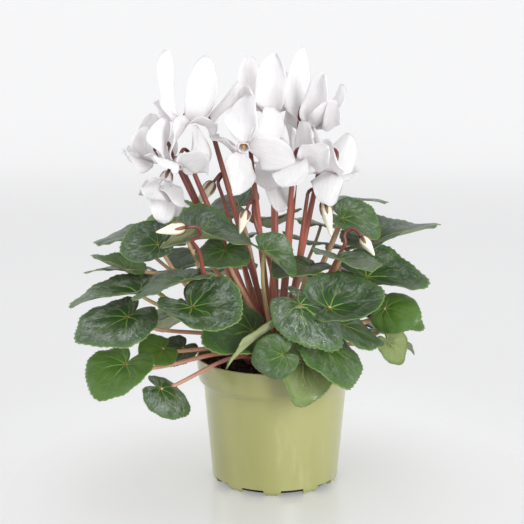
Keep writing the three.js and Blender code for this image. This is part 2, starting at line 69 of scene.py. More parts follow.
def piece(name, points, faces, finishes, marks=None, finish_of_face=None):
    """A closed skin through the points (metres); marks are named numbers or triples kept at each point for
    its finish to read."""
    mesh = bpy.data.meshes.new(name)
    mesh.from_pydata(np.asarray(points, float).tolist(), [], faces)
    for mark, values in (marks or {}).items():
        values = np.asarray(values, np.float32)
        triple = values.ndim == 2
        kept = mesh.attributes.new(mark, "FLOAT_VECTOR" if triple else "FLOAT", "POINT")
        kept.data.foreach_set("vector" if triple else "value", values.ravel())
    if finish_of_face is not None:
        mesh.polygons.foreach_set("material_index", finish_of_face)
    skin = bmesh.new()
    skin.from_mesh(mesh)
    bmesh.ops.recalc_face_normals(skin, faces=skin.faces)
    skin.to_mesh(mesh)
    skin.free()
    mesh.shade_smooth()
    for material in finishes:
        mesh.materials.append(material)
    made = bpy.data.objects.new(name, mesh)
    bpy.context.scene.collection.objects.link(made)
    return made


def lofted(rings):
    """The skin over a stack of rings of equal count, closed at both ends by a fan to a middle
    point: its points and faces."""
    rings = np.asarray(rings, float)
    rows, count = rings.shape[:2]
    points = np.concatenate([rings.reshape(-1, 3), rings[:1].mean(1), rings[-1:].mean(1)])
    faces = []
    for row in range(rows - 1):
        for i in range(count):
            j = (i + 1) % count
            low, high = row * count, (row + 1) * count
            faces.append((low + i, low + j, high + j, high + i))
    foot, head, top = rows * count, rows * count + 1, (rows - 1) * count
    for i in range(count):
        j = (i + 1) % count
        faces.append((foot, j, i))
        faces.append((head, top + i, top + j))
    return points, faces


def together(skins):
    """Several skins as one, its faces renumbered; each gives its points, faces and more."""
    points, faces = [], []
    for more_points, more_faces, *_ in skins:
        start = len(points)
        points.extend(more_points)
        faces += [tuple(start + k for k in face) for face in more_faces]
    return np.array(points), faces


def turns_of(sides):
    """A full turn shared out evenly, in radians."""
    return np.arange(sides) * 2 * math.pi / sides


def spokes(turns, side, other):
    """The ways out from a line at each turn; side and other are square to it, one long."""
    return np.cos(turns)[:, None] * side + np.sin(turns)[:, None] * other


def turned(profile, sides):
    """Rings of a profile [radius, height] in millimetres, turned about the upright axis."""
    around = spokes(turns_of(sides), np.array([1, 0, 0]), np.array([0, 1, 0]))
    return np.array([radius * around + [0, 0, height] for radius, height in profile]) * MM


def block_rings(degrees, inner, outer, width, height, foot):
    """A splayed block lying outwards across the foot of the pot, as two rings of four corners."""
    turn = math.radians(degrees)
    out = np.array([math.cos(turn), math.sin(turn), 0])
    side = np.array([-math.sin(turn), math.cos(turn), 0])
    half, head = width / 2, width / 2 - NOTCH_DRAFT
    corners = [(-half, foot), (half, foot), (head, height), (-head, height)]
    section = np.array([y * side + [0, 0, z] for y, z in corners])
    return np.array([section + out * inner, section + out * outer]) * MM


def drain_rings(degrees):
    """A round hole through the roof of a drain pocket."""
    turn = math.radians(degrees)
    middle = (FOOT_RADIUS - NOTCH_DEPTH / 2) * np.array([math.cos(turn), math.sin(turn), 0]) * MM
    return turned([(DRAIN_RADIUS, 1), (DRAIN_RADIUS, 12)], 20) + middle


def shapes(name, stacks):
    """Several closed stacks of rings in one piece, with no finish yet."""
    return piece(name, *together(lofted(rings) for rings in stacks), [])


def worked(target, cutter, operation):
    """The target joined to the cutter, or cut by it, for good."""
    step = target.modifiers.new("work", "BOOLEAN")
    step.operation = operation
    step.solver = "EXACT"
    step.object = cutter
    reading = bpy.context.evaluated_depsgraph_get()
    mesh = bpy.data.meshes.new_from_object(target.evaluated_get(reading))
    target.modifiers.clear()
    target.data = mesh
    bpy.data.objects.remove(cutter)


def arc(middle_radius, middle_height, size, start, end, steps):
    """Points of a rounded corner for a profile."""
    for i in range(steps + 1):
        turn = math.radians(start + (end - start) * i / steps)
        yield (middle_radius + size * math.cos(turn), middle_height + size * math.sin(turn))


def finish(name, **settings):
    """A finish begun. The functions below lay their nodes in the one begun last, and where is
    the place of each point of the piece, in metres."""
    global tree, shader, where
    made = bpy.data.materials.new(name)
    made.use_nodes = True
    tree = made.node_tree
    shader = tree.nodes["Principled BSDF"]
    for socket, value in settings.items():
        shader.inputs[socket.replace("_", " ")].default_value = value
    where = laid("TexCoord", out="Object")
    return made


def laid(kind, sockets=(), out=0, **options):
    """One node of a finish. Sockets are its inputs, set or linked; options its settings; and
    out is the output that it gives."""
    made = tree.nodes.new("ShaderNode" + kind)
    for option, value in options.items():
        setattr(made, option, value)
    for place, value in dict(sockets).items():
        if isinstance(value, bpy.types.NodeSocket):
            tree.links.new(value, made.inputs[place])
        else:
            made.inputs[place].default_value = value
    return made.outputs[out]


def reckoned(operation, *values):
    """One step of arithmetic on one, two or three numbers."""
    return laid("Math", enumerate(values), operation=operation)


def times(value, factor, plus=None):
    """The product of two numbers, and a third added if there is one."""
    if plus is None:
        return reckoned("MULTIPLY", value, factor)
    return reckoned("MULTIPLY_ADD", value, factor, plus)


def eased(value, low, high, start=0.0, end=1.0):
    """A number that eases from start to end while the value goes from low to high."""
    sockets = {0: value, 1: low, 2: high, 3: start, 4: end}
    return laid("MapRange", sockets, interpolation_type="SMOOTHSTEP")


def layered(colour, *coats):
    """Colours laid one over another; each coat gives its share from 0 to 1, and its colour."""
    for share, coat in coats:
        under, over = ((*c, 1) if isinstance(c, tuple) else c for c in (colour, coat))
        colour = laid("Mix", {0: share, 6: under, 7: over}, out=2, data_type="RGBA")
    return colour


def cloudy(where, size, detail=3.0, rough=0.55):
    """Even noise from 0 to 1, one blotch about 1/size across."""
    sockets = {"Vector": where, "Scale": size, "Detail": detail, "Roughness": rough}
    return laid("TexNoise", sockets)


def stretched(where, scale, turn=(0, 0, 0)):
    """The same places drawn out, so that marks come out long one way."""
    return laid("Mapping", {"Vector": where, "Scale": scale, "Rotation": turn})


def kept_at(mark):
    """The three numbers kept at each point under a name."""
    kept = laid("Attribute", out="Vector", attribute_name=mark)
    return laid("SeparateXYZ", {0: kept}).node.outputs


def taken(socket, value):
    """One input of the shader taken from a node."""
    tree.links.new(value, shader.inputs[socket])


def raised(height, depth):
    """The shader's surface raised and sunk by a height from 0 to 1, depth metres in all."""
    taken("Normal", laid("Bump", {"Height": height, "Distance": depth}))


pot_plastic = finish("pot_plastic", Specular_IOR_Level=0.5, Subsurface_Weight=0.05, Coat_Weight=1.0,
                     Coat_Roughness=0.32, Subsurface_Radius=(0.004, 0.004, 0.002))
flow = stretched(where, (1, 1, 0.25))
cloud = cloudy(flow, 22, 4)
smear = eased(cloudy(flow, 60, 6, 0.7), 0.56, 0.72)
grain = cloudy(where, 900, 2)
spots = laid("TexVoronoi", {"Vector": where, "Scale": 75})
speck = eased(spots, 0.05, 0.1, 1, 0)
rare = eased(cloudy(where, 30, 1), 0.62, 0.66)
scuff = stretched(where, (1, 1, 7), (0.25, 0.1, 0))
scuffed = eased(cloudy(scuff, 26, 5, 0.65), 0.63, 0.7)
taken("Base Color", layered(
    (0.272, 0.272, 0.088),
    (eased(cloud, 0.35, 0.65), (0.314, 0.314, 0.114)),
    (times(smear, 0.35), (0.43, 0.43, 0.20)),
    (times(scuffed, 0.4), (0.27, 0.265, 0.105)),
    (times(speck, rare), (0.13, 0.115, 0.05))))
taken("Roughness", eased(smear, 0, 1, 0.34, 0.50))
raised(times(scuffed, 0.6, plus=grain), 0.00008)

# The underside and the rounded foot.
pocket_inside = FOOT_RADIUS - NOTCH_DEPTH
profile = [(0.01, 0), (24, 0), (pocket_inside - 2, 0), (FOOT_RADIUS - 1, 0)]
profile += list(arc(FOOT_RADIUS - 2.2, 5.2, 5.1, -72, -6, 7))
# The body, up to just under the shoulder.
low_radius, low = BODY_FOOT_RADIUS + 0.2, 7
high_radius, high = BODY_TOP_RADIUS - 0.4, BAND_FOOT - 8
for share in np.linspace(0, 1, 9):
    profile.append((low_radius + share * (high_radius - low_radius), low + share * (high - low)))
# The shoulder, the band and the rolled rim.
profile += [(BODY_TOP_RADIUS - 0.05, BAND_FOOT - 0.9), (BODY_TOP_RADIUS + 0.5, BAND_FOOT + 0.2)]
profile += [(BODY_TOP_RADIUS + 2.6, BAND_FOOT + 2.7), (BAND_FOOT_RADIUS - 0.4, BAND_FOOT + SHOULDER + 0.3)]
profile += [(BAND_FOOT_RADIUS, BAND_FOOT + SHOULDER + 1.6), (59.1, BAND_FOOT + 12)]
profile += list(arc(RIM_RADIUS - 0.7, POT_HEIGHT - 0.7, 0.7, 0, 180, 8))
# Down the inside again to the floor.
profile += [(58.1, BAND_FOOT + 14), (BAND_FOOT_RADIUS - POT_WALL, BAND_FOOT + SHOULDER + 2.2)]
profile += [(BODY_TOP_RADIUS + 0.9, BAND_FOOT + 3.4), (BODY_TOP_RADIUS - POT_WALL, BAND_FOOT + 0.6)]
profile += [(BODY_FOOT_RADIUS - POT_WALL, FOOT_ROUNDING + 1), (46.2, 2.6), (44, FLOOR), (0.01, FLOOR)]

pot = shapes("pot_shell", [turned(profile, POT_SIDES)])
notch_angles = [FIRST_NOTCH + 360 * i / NOTCHES for i in range(NOTCHES)]
worked(pot, shapes("pockets", [
    block_rings(angle, pocket_inside - POT_WALL, BODY_FOOT_RADIUS - 2 * POT_WALL,
                NOTCH_WIDTH + 2 * POT_WALL, NOTCH_HEIGHT + POT_WALL, FLOOR / 2)
    for angle in notch_angles]), "UNION")
worked(pot, shapes("hollows", [
    block_rings(angle, pocket_inside, RIM_RADIUS, NOTCH_WIDTH, NOTCH_HEIGHT, -1)
    for angle in notch_angles]), "DIFFERENCE")
worked(pot, shapes("drains", [drain_rings(angle) for angle in notch_angles]), "DIFFERENCE")
pot.data.materials.clear()
pot.data.materials.append(pot_plastic)
pot.data.shade_smooth()
pot.data.set_sharp_from_angle(angle=math.radians(38))
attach(pot, "root")
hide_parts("pot")


# ---------- The potting soil ----------
# Dark peat filled to just below the rim: crumbs and fibres, sunk a little where it meets the
# pot, with a few pale grains of grit.

SOIL_TOP = POT_HEIGHT - 6
SOIL_RADIUS = 57
SOIL_RINGS = 60
SOIL_SECTORS = 150
CRUMBS = 900


def roughness_at(x, y, size, octaves=4):
    """Broken noise over the ground, about -1 to 1."""
    return noise.fractal(Vector((x * size, y * size, 3.7)), 0.9, 2.1, octaves)


def crumb(middle, size, turn):
    """One crumb: an eight-cornered lump, as two rings of four."""
    ring = np.array([[math.cos(a + turn), math.sin(a + turn), 0] for a in (0, 1.7, 3.0, 4.6)])
    squash = 0.5 + 0.4 * math.sin(turn * 7) ** 2
    low = ring * size * 0.9 + [0, 0, -0.4 * size]
    high = np.roll(ring, 1, 0) * size * 0.55 + [0, 0, squash * size]
    return np.array([low, high]) + middle


soil_finish = finish("potting_soil", Roughness=0.95, Specular_IOR_Level=0.25)
clod = cloudy(where, 180, 5, 0.7)
fibre = cloudy(stretched(where, (1, 5, 1), (0, 0, 0.6)), 260, 4, 0.75)
grit = laid("TexVoronoi", {"Vector": where, "Scale": 330})
patches = eased(cloudy(where, 90, 2), 0.55, 0.62)
pale = times(eased(grit, 0.14, 0.2, 1, 0), patches)
taken("Base Color", layered(
    (0.010, 0.006, 0.005),
    (eased(clod, 0.35, 0.7), (0.050, 0.028, 0.019)),
    (eased(fibre, 0.58, 0.72), (0.11, 0.060, 0.036)),
    (pale, (0.42, 0.38, 0.33))))
raised(reckoned("ADD", clod, times(fibre, 0.5)), 0.0012)

rings = []
for radius in np.linspace(SOIL_RADIUS, 0.6, SOIL_RINGS):
    ring = []
    for i in range(SOIL_SECTORS):
        turn = 2 * math.pi * i / SOIL_SECTORS
        x, y = radius * math.cos(turn), radius * math.sin(turn)
        edge = min(1, (SOIL_RADIUS + 0.4 - radius) / 5)
        lumps = 1.5 * roughness_at(x, y, 0.13) + 0.7 * roughness_at(x, y, 0.5, 3)
        ring.append((x, y, SOIL_TOP - 1.6 * (1 - edge) + min(lumps, 3.0) * (0.35 + 0.65 * edge)))
    rings.append(ring)
under = [(44.2, 1.8), (46.6, 5.4), (52.5, 75.6), (56.8, 81.5), (57.0, 88)]
around = turned(under, SOIL_SECTORS)
points, faces = lofted(np.concatenate([around, np.array(rings) * MM]))
dice = np.random.default_rng(7)
stacks = []
for _ in range(CRUMBS):
    turn, spread = dice.uniform(0, 2 * math.pi), (SOIL_RADIUS - 0.5) * math.sqrt(dice.uniform(0.12, 1))
    x, y = spread * math.cos(turn), spread * math.sin(turn)
    size = 0.5 + 1.1 * dice.uniform() ** 2.5
    height = SOIL_TOP + 1.5 * roughness_at(x, y, 0.13) + 0.5 * roughness_at(x, y, 0.5, 3)
    middle = np.array([x, y, min(height, 94) - 1.2 * (spread > 53)])
    stacks.append(crumb(middle, size, dice.uniform(0, 6)) * MM)
crumbs = shapes("soil_crumbs", stacks)
crumbs.data.materials.append(soil_finish)
crumbs.data.set_sharp_from_angle(angle=0.5)
soil = piece("soil_bed", points, faces, [soil_finish])
for part in (soil, crumbs):
    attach(part, "root")
    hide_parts("soil")


# ---------- The tuber ----------
# A flattened corky globe, half sunk in the soil, brown and cracked. Every leaf and flower stalk
# grows out of its crown.

TUBER_MIDDLE = np.array([0, 0, SOIL_TOP - 9])
TUBER_SIZE = np.array([26, 26, 17])

tuber_skin = finish("tuber_skin", Roughness=0.85, Specular_IOR_Level=0.3)
cracks = laid("TexVoronoi", {"Vector": where, "Scale": 170}, feature="DISTANCE_TO_EDGE")
cork = cloudy(where, 240, 5, 0.7)
taken("Base Color", layered(
    (0.055, 0.026, 0.014),
    (eased(cork, 0.3, 0.7), (0.20, 0.105, 0.058)),
    (eased(cracks, 0.0, 0.08, 0.8, 0), (0.018, 0.010, 0.007))))
raised(reckoned("ADD", eased(cracks, 0, 0.12), cork), 0.0009)

rings = []
for i in range(1, 40):
    slope = math.pi * i / 40
    ring = []
    for j in range(72):
        turn = 2 * math.pi * j / 72
        way = np.array([math.sin(slope) * math.cos(turn), math.sin(slope) * math.sin(turn), -math.cos(slope)])
        swell = 1 - 0.03 + 0.03 * noise.fractal(Vector(way * 3.1), 0.8, 2.0, 4)
        ring.append(TUBER_MIDDLE + TUBER_SIZE * way * swell)
    rings.append(ring)
tuber = piece("tuber_globe", *lofted(np.array(rings) * MM), [tuber_skin])
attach(tuber, "root")
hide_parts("tuber")


# ---------- Leaf stalks ----------
# Fleshy round stalks, terracotta pink and paling towards the blade. Each springs straight out of
# the crown, arches over and meets its blade in the notch.

PETIOLE_SIDES = 10
PETIOLE_STEPS = 26
PETIOLE_THICK = 1.9
PETIOLE_THIN = 1.3
FOOT_CORNERS = 5


def unit(vector):
    """The same way, one long."""
    return np.asarray(vector, float) / np.linalg.norm(vector)


def foot_of(node):
    """Where a stalk stands on the crown, in millimetres, and the way the crown faces there. The
    corners of its foot are the ones nearest the tuber's middle."""
    corners = np.array([v.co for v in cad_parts[node].data.vertices]) / MM
    corners = np.unique(corners.round(2), axis=0)
    near = np.argsort(np.linalg.norm(corners - TUBER_MIDDLE, axis=1))[:FOOT_CORNERS]
    foot = corners[near].mean(0)
    return foot, unit((foot - TUBER_MIDDLE) / TUBER_SIZE ** 2)


def tube(run, radii, sides):
    """Rings round a run of points, carried along it without twisting."""
    run = np.asarray(run, float)
    ways = np.gradient(run, axis=0)
    ways /= np.linalg.norm(ways, axis=1)[:, None]
    side = unit(np.cross(ways[0], [0.3, 0.9, 0.2]))
    rings = []
    for point, way, radius in zip(run, ways, radii):
        side = unit(side - way * side.dot(way))
        rings.append(point + radius * spokes(turns_of(sides), side, np.cross(way, side)))
    return np.array(rings)


def stalk_marks(rows, sides, kind):
    """For each point of a stalk: its share of the way up, and what kind of stalk it is."""
    share = np.repeat(np.linspace(0, 1, rows), sides)
    share = np.concatenate([share, [0, 1]])
    return np.stack([share, np.full(len(share), kind), np.zeros(len(share))], 1)


leaf_stalk = finish("leaf_stalk", Roughness=0.42, Subsurface_Weight=0.15,
                    Subsurface_Radius=(0.003, 0.0015, 0.001))
share, green, _ = kept_at("place")
streak = cloudy(stretched(where, (1, 1, 0.12)), 700, 3)
near_blade = eased(share, 0.1, 0.95)
pink = layered((0.50, 0.205, 0.150), (near_blade, (0.54, 0.31, 0.205)))
fresh = layered((0.48, 0.30, 0.17), (near_blade, (0.44, 0.42, 0.17)))
streaks = (eased(streak, 0.5, 0.75, 0, 0.45), (0.36, 0.110, 0.075))
taken("Base Color", layered(pink, (green, fresh), streaks))
raised(streak, 0.0001)


# ---------- Leaf blades ----------
# Waxy heart-shaped blades, a little fleshy, finely toothed with a thin pale edge. Pale veins fan
# out from the notch; between them the dark green is marbled with silver, and the underside is
# pale olive. Each blade has its own cup, curl and ripple.

# at: the stalk's end in the notch of the heart; tip: the blade's point; roll: degrees turned
# about the midrib; cup: degrees each half is lifted; curl: degrees the point hangs; arch: how
# far the stalk bows up; then tone: from 0 deep to 1 lush green and 2 pale olive; how silvered,
# how dusted with pollen, how folded along the midrib, and how green the stalk is.
LEAVES = [
    ((-106, -56, 138), (-137, -80, 121), -14, -3, -12, 0, 0.28, 0.95, 0.1, 0.03, 0.1),
    ((-106, -70, 107), (-123, -97, 90), -7, 16, 4, 0, 0.95, 0.1, 0.0, 0.06, 0.0),
    ((-82, -48, 113), (-98, -62, 110), -39, -2, -11, 4, 1.15, 0.05, 0.0, 0.06, 0.1),
    ((-82, -69, 89), (-58, -68, 75), 30, -45, 28, 4, 0.3, 0.85, 0.05, 0.04, 0.0),
    ((-58, -82, 151), (-27, -110, 137), 20, 43, -25, -6, 0.32, 0.8, 0.35, 0.05, 0.0),
    ((-85, -37, 188), (-112, -34, 181), -60, 60, -30, -18, 0.25, 0.7, 0.1, 0.0, 0.2),
    ((-111, -18, 165), (-138, -7, 172), 2, 33, -14, 32, 0.85, 0.1, 0.0, 0.06, 0.2),
    ((-108, 30, 184), (-142, 47, 179), -10, 8, 12, 0, 0.2, 0.6, 0.0, 0.04, 0.4),
    ((-108, 14, 159), (-145, 4, 160), 8, 4, 5, 0, 0.5, 0.25, 0.0, 0.05, 0.9),
    ((-100, -34, 151), (-151, -32, 145), -3, 21, 4, 8, 0.35, 0.75, 0.0, 0.06, 0.6),
    ((-63, -65, 166), (-100, -79, 157), 3, 17, 8, 8, 0.35, 0.5, 0.1, 0.06, 0.8),
    ((-75, 28, 193), (-100, 51, 198), -30, 8, 10, 0, 1.3, 0.0, 0.0, 0.04, 0.3),
    ((-63, -47, 192), (-18, -52, 202), 11, 60, 31, -6, 0.18, 0.5, 0.05, 0.0, 0.2),
    ((-63, -2, 175), (-76, -21, 169), -4, 6, 10, 0, 0.1, 0.25, 0.0, 0.04, 0.4),
    ((-37, -44, 184), (-42, -68, 169), -6, -12, -30, 0, 0.62, 0.35, 0.1, 0.06, 0.2),
    ((-8, -62, 187), (14, -64, 171), 21, 60, 0, 0, 0.42, 0.55, 0.3, 0.0, 1.0),
    ((-17, -64, 130), (-49, -91, 128), -30, 24, 10, 0, 0.42, 0.05, 0.0, 0.08, 0.0),
    ((4, -103, 123), (-18, -106, 114), -89, -22, 50, 2, 0.6, 0.4, 0.0, 0.04, 0.2),
    ((16, -88, 154), (46, -102, 131), 16, -45, 17, 0, 0.25, 0.62, 1.0, 0.03, 0.2),
    ((33, -68, 122), (45, -100, 97), -22, 2, 0, 6, 0.72, 0.4, 0.0, 0.04, 0.3),
    ((19, -61, 107), (16, -83, 81), -35, 29, 3, 0, 1.8, 0.3, 0.0, 0.06, 0.3),
    ((37, -80, 150), (74, -62, 153), 28, 42, -25, 26, 0.25, 0.5, 0.0, 0.03, 0.3),
    ((23, -40, 172), (-1, -62, 170), -6, 14, 8, 0, 0.35, 0.05, 0.0, 0.06, 0.5),
    ((46, -50, 179), (60, -84, 173), -10, 14, -14, 0, 0.28, 0.62, 0.7, 0.06, 0.3),
    ((49, -52, 131), (77, -46, 114), 20, -4, -8, 4, 0.38, 0.45, 0.05, 0.04, 0.2),
    ((81, -30, 139), (103, -46, 138), 51, -45, 26, 0, 0.98, 0.12, 0.0, 0.03, 0.2),
    ((68, -19, 160), (114, -15, 156), 22, 40, 5, 0, 0.22, 0.4, 0.0, 0.05, 0.3),
    ((50, -6, 202), (76, -18, 189), 25, 41, -3, 0, 0.5, 0.65, 0.0, 0.03, 0.3),
    ((54, 29, 210), (88, 41, 210), -4, 6, 8, 0, 0.5, 0.8, 0.0, 0.04, 0.4),
    ((77, 7, 183), (126, 29, 193), 1, 23, 3, 0, 0.16, 0.5, 0.0, 0.08, 0.4),
    ((58, 62, 150), (88, 94, 142), 0, -6, 16, 0, 0.5, 0.45, 0.0, 0.04, 0.2),
    ((-40, 70, 150), (-62, 108, 140), 0, -6, 16, 0, 0.35, 0.55, 0.0, 0.04, 0.2),
]
BLADE_THICKNESS = 0.6
TEETH = 52
TOOTH = 0.026
HALF_WIDTH = 0.66
VEIN_SPACING = math.pi / 3.4
# How far out from the notch each ring of points lies, closer together towards the edge.
SHARES = np.array([0, 0.05, 0.11, 0.18, 0.26, 0.35, 0.44, 0.53, 0.62, 0.70, 0.78, 0.85, 0.91, 0.96, 1.0])


def heart_reach(turn):
    """How far the edge lies from the notch, for a blade one long; turn is 0 at the point."""
    body = HALF_WIDTH + 0.19 * np.cos(turn) + 0.15 * np.exp(-((turn / 0.33) ** 2))
    return body * (1 - 0.93 * np.exp(-(((math.pi - np.abs(turn)) / 0.3) ** 2)))


def bent(distance, curvature):
    """A straight run bent to an arc: how far along it gets, and how far off the straight."""
    if abs(curvature) < 1e-6:
        return distance, np.zeros_like(distance)
    return np.sin(distance * curvature) / curvature, (1 - np.cos(distance * curvature)) / curvature


def blade_axes(at, tip, roll):
    """Along the midrib, out of the upper face and across, with the length from notch to point."""
    along = np.subtract(tip, at).astype(float)
    length = np.linalg.norm(along)
    along /= length
    face = unit(np.array([0, 0, 1]) - along * along[2])
    turn = math.radians(roll)
    face = face * math.cos(turn) + np.cross(along, face) * math.sin(turn)
    return along, face, np.cross(along, face), length


def blade(leaf, dice, width=1.0):
    """The blade's points, faces and marks. Width is how wide it lies: less than 1 when it is
    still folded."""
    at, tip, roll, cup, curl, _, tone, silver, dust, fold, _ = leaf
    along, face, across, length = blade_axes(at, tip, roll)
    sectors = 3 * TEETH
    turn = (np.arange(sectors) + 0.5) * 2 * math.pi / sectors - math.pi
    tooth = np.tile([0.0, 1.0, 0.45], TEETH)
    reach = heart_reach(turn)
    share = SHARES[:, None]
    out = share * reach * np.where(share > 0.95, 1 + TOOTH * tooth * (np.abs(turn) < 2.9), 1)
    x, y = out * np.cos(turn), out * np.sin(turn) * width
    beside = np.abs(turn) * (1 + 0.3 * share) / VEIN_SPACING
    between = 2 * np.abs(beside - np.round(beside))
    phase = dice.uniform(0, 6, 3)
    # Dimpled at the notch, folded along the midrib, waved at the edge, quilted between the
    # veins, and turned down at the rim.
    height = 0.035 * (1 - np.exp(-((out / 0.13) ** 2)))
    height += fold * (np.sqrt(y ** 2 + 0.006) - 0.077)
    height += share ** 2.5 * (0.022 * np.sin(2 * turn + phase[0]) + 0.024 * np.sin(5 * turn + phase[1]))
    height += share ** 6 * 0.014 * np.sin(13 * turn + phase[2])
    height += 0.016 * np.sin(math.pi * np.minimum(1, share * 1.05)) * between ** 0.8
    height -= 0.030 * np.clip((share - 0.82) / 0.18, 0, 1) ** 2
    forward, dip = bent(x * length, math.radians(curl) / length)
    sideways, rise = bent(y * length, math.radians(cup) / (HALF_WIDTH * length))
    points = np.asarray(at, float) + forward[..., None] * along + sideways[..., None] * across
    points = points + (rise - dip + height * length)[..., None] * face
    normal = np.cross(np.gradient(points, axis=0), np.roll(points, -1, 1) - np.roll(points, 1, 1))
    normal[0] = face
    normal /= np.linalg.norm(normal, axis=2)[..., None] + 1e-9
    normal *= np.sign((normal * face).sum(2))[..., None]
    # The upper and lower skins, which meet in the edge.
    half = BLADE_THICKNESS / 2 * np.sqrt(1 - share ** 6)[..., None]
    upper, lower = points + half * normal, points - half * normal
    rows = len(SHARES)
    listed = lambda over, below: np.concatenate(
        [over[0, :1], over[1:].reshape(-1, 3), below[0, :1], below[1:-1].reshape(-1, 3)])
    grid = listed(upper, lower)
    number = lambda row, i: 1 + (row - 1) * sectors + i % sectors
    below = 1 + (rows - 1) * sectors
    beneath = lambda row, i: number(row, i) if row == rows - 1 else below + number(row, i)
    faces = []
    for i in range(sectors):
        faces.append((0, number(1, i), number(1, i + 1)))
        faces.append((below, beneath(1, i + 1), beneath(1, i)))
        for row in range(1, rows - 1):
            faces.append((number(row, i), number(row + 1, i), number(row + 1, i + 1), number(row, i + 1)))
            faces.append((beneath(row, i), beneath(row, i + 1), beneath(row + 1, i + 1), beneath(row + 1, i)))
    places = np.stack([x, y, np.broadcast_to(share, x.shape)], 2)
    side = np.concatenate([np.zeros(below), np.ones(len(grid) - below)])
    side[number(rows - 1, 0):below] = 0.5
    marks = {"place": listed(places, places), "under": side,
             "kind": np.tile([tone, silver, dust], (len(grid), 1))}
    return grid * MM, faces, marks


def petiole(leaf, foot, facing):
    """Rings of the leaf's stalk, from the crown to the notch."""
    at, tip, roll, _, _, arch = leaf[:6]
    _, face, _, _ = blade_axes(at, tip, roll)
    at = np.asarray(at, float)
    chord = at - foot
    spring = 0.35 * np.linalg.norm(chord)
    arrive = unit(unit(chord) + 0.6 * face)
    lift = np.array([0, 0, arch])
    knots = (foot - 0.6 * facing, foot + facing * spring + lift, at - arrive * spring + lift, at)
    t = np.linspace(0, 1, PETIOLE_STEPS)[:, None]
    weights = ((1 - t) ** 3, 3 * (1 - t) ** 2 * t, 3 * (1 - t) * t ** 2, t ** 3)
    run = sum(weight * knot for weight, knot in zip(weights, knots))
    radii = np.linspace(PETIOLE_THICK, PETIOLE_THIN, PETIOLE_STEPS)
    radii[0] = PETIOLE_THICK + 0.2
    return tube(run, radii, PETIOLE_SIDES) * MM


leaf_green = finish("leaf_green", Specular_IOR_Level=0.5, Subsurface_Weight=0.04,
                    Subsurface_Radius=(0.001, 0.002, 0.0005))
place = laid("Attribute", out="Vector", attribute_name="place")
x, y, share = kept_at("place")
tone, silver, dust = kept_at("kind")
under = laid("Attribute", out="Fac", attribute_name="under")
wander = reckoned("SUBTRACT", cloudy(where, 90, 3), 0.5)

# The main veins fan out from the notch.
flat = laid("CombineXYZ", {0: x, 1: y})
out = laid("VectorMath", {0: flat}, out=1, operation="LENGTH")
turn = reckoned("ABSOLUTE", reckoned("ARCTAN2", y, x))
turn = times(turn, times(share, 0.3, plus=1.0))
turn = times(times(wander, share), 1.5, plus=turn)
fan = reckoned("DIVIDE", turn, VEIN_SPACING)
off = reckoned("PINGPONG", fan, 0.5)
beside = times(times(off, VEIN_SPACING), out)
width = times(share, -0.014, plus=0.021)
vein = eased(beside, times(width, 0.35), width, 1, 0)
vein = times(vein, eased(share, 0.15, 0.8, 1.0, 0.12))

# They fork half way out, and fine rungs and a net of smaller ones run between them.
forked = times(share, 0.35, plus=times(fan, 2))
fork_off = reckoned("PINGPONG", forked, 0.5)
fork = times(times(fork_off, VEIN_SPACING / 2), out)
fork = eased(fork, 0.003, 0.011, 1, 0)
fork = times(fork, eased(share, 0.28, 0.5))
fork = times(fork, eased(share, 0.5, 0.9, 0.55, 0.0))
vein = reckoned("MAXIMUM", vein, fork)
ladder = times(share, 5.0, plus=times(off, -3.2))
rib = reckoned("FLOOR", reckoned("ADD", fan, 0.5))
ladder = reckoned("ADD", ladder, times(rib, 0.37))
ladder = times(wander, 1.1, plus=ladder)
rung = eased(reckoned("PINGPONG", ladder, 0.5), 0.015, 0.075, 1, 0)
rung = times(rung, eased(share, 0.12, 0.3))
rung = times(rung, eased(off, 0.12, 0.42, 1.0, 0.05))
mesh_edge = laid("TexVoronoi", {"Vector": place, "Scale": 26}, feature="DISTANCE_TO_EDGE")
net = eased(mesh_edge, 0.0, 0.07, 1, 0)

# Deep or lush green above, brighter round the notch, with a ragged band of silver marbling.
drift = eased(wander, -0.25, 0.25)
deep = layered((0.012, 0.029, 0.017), (drift, (0.023, 0.045, 0.029)))
lush = layered((0.044, 0.118, 0.007), (drift, (0.072, 0.160, 0.012)))
olive = eased(tone, 1.0, 2.0)
heart = eased(times(wander, 0.5, plus=share), 0.12, 0.42, 0.55, 0)
ragged = times(wander, 0.9, plus=times(off, -0.35))
ragged = reckoned("ADD", share, ragged)
band = times(eased(ragged, 0.25, 0.45), eased(ragged, 0.62, 0.98, 1, 0.35))
mottle = eased(cloudy(where, 420, 4, 0.7), 0.35, 0.6, 0.35, 1)
own_marbling = times(tone, 9, plus=silver)
fan_place = {0: times(fan, 4.5), 1: times(share, 2.2), 2: own_marbling}
fan_place = laid("CombineXYZ", fan_place)
feather = eased(cloudy(fan_place, 1.7, 5, 0.68), 0.44, 0.60, 0.08, 1)
mottle = times(mottle, feather)
band = times(times(band, mottle), silver)
vein_colour = layered((0.22, 0.33, 0.055), (olive, (0.50, 0.53, 0.27)))
grain_cells = laid("TexVoronoi", {"Vector": where, "Scale": 1100})
grains = eased(grain_cells, 0.16, 0.3, 1, 0)
pollen = times(grains, eased(cloudy(where, 150, 3), 0.50, 0.62))
upper = layered(
    deep, (tone, lush), (olive, (0.215, 0.265, 0.085)), (heart, (0.020, 0.085, 0.006)),
    (band, (0.295, 0.335, 0.290)),
    (times(rung, 0.5), (0.12, 0.21, 0.050)),
    (times(net, 0.10), (0.08, 0.14, 0.05)),
    (times(vein, 0.85), vein_colour),
    (eased(out, 0.015, 0.05, 0.8, 0), (0.30, 0.12, 0.035)),
    (times(pollen, dust), (0.70, 0.72, 0.66)),
    (times(eased(share, 0.84, 0.97), 0.55), (0.060, 0.150, 0.020)))

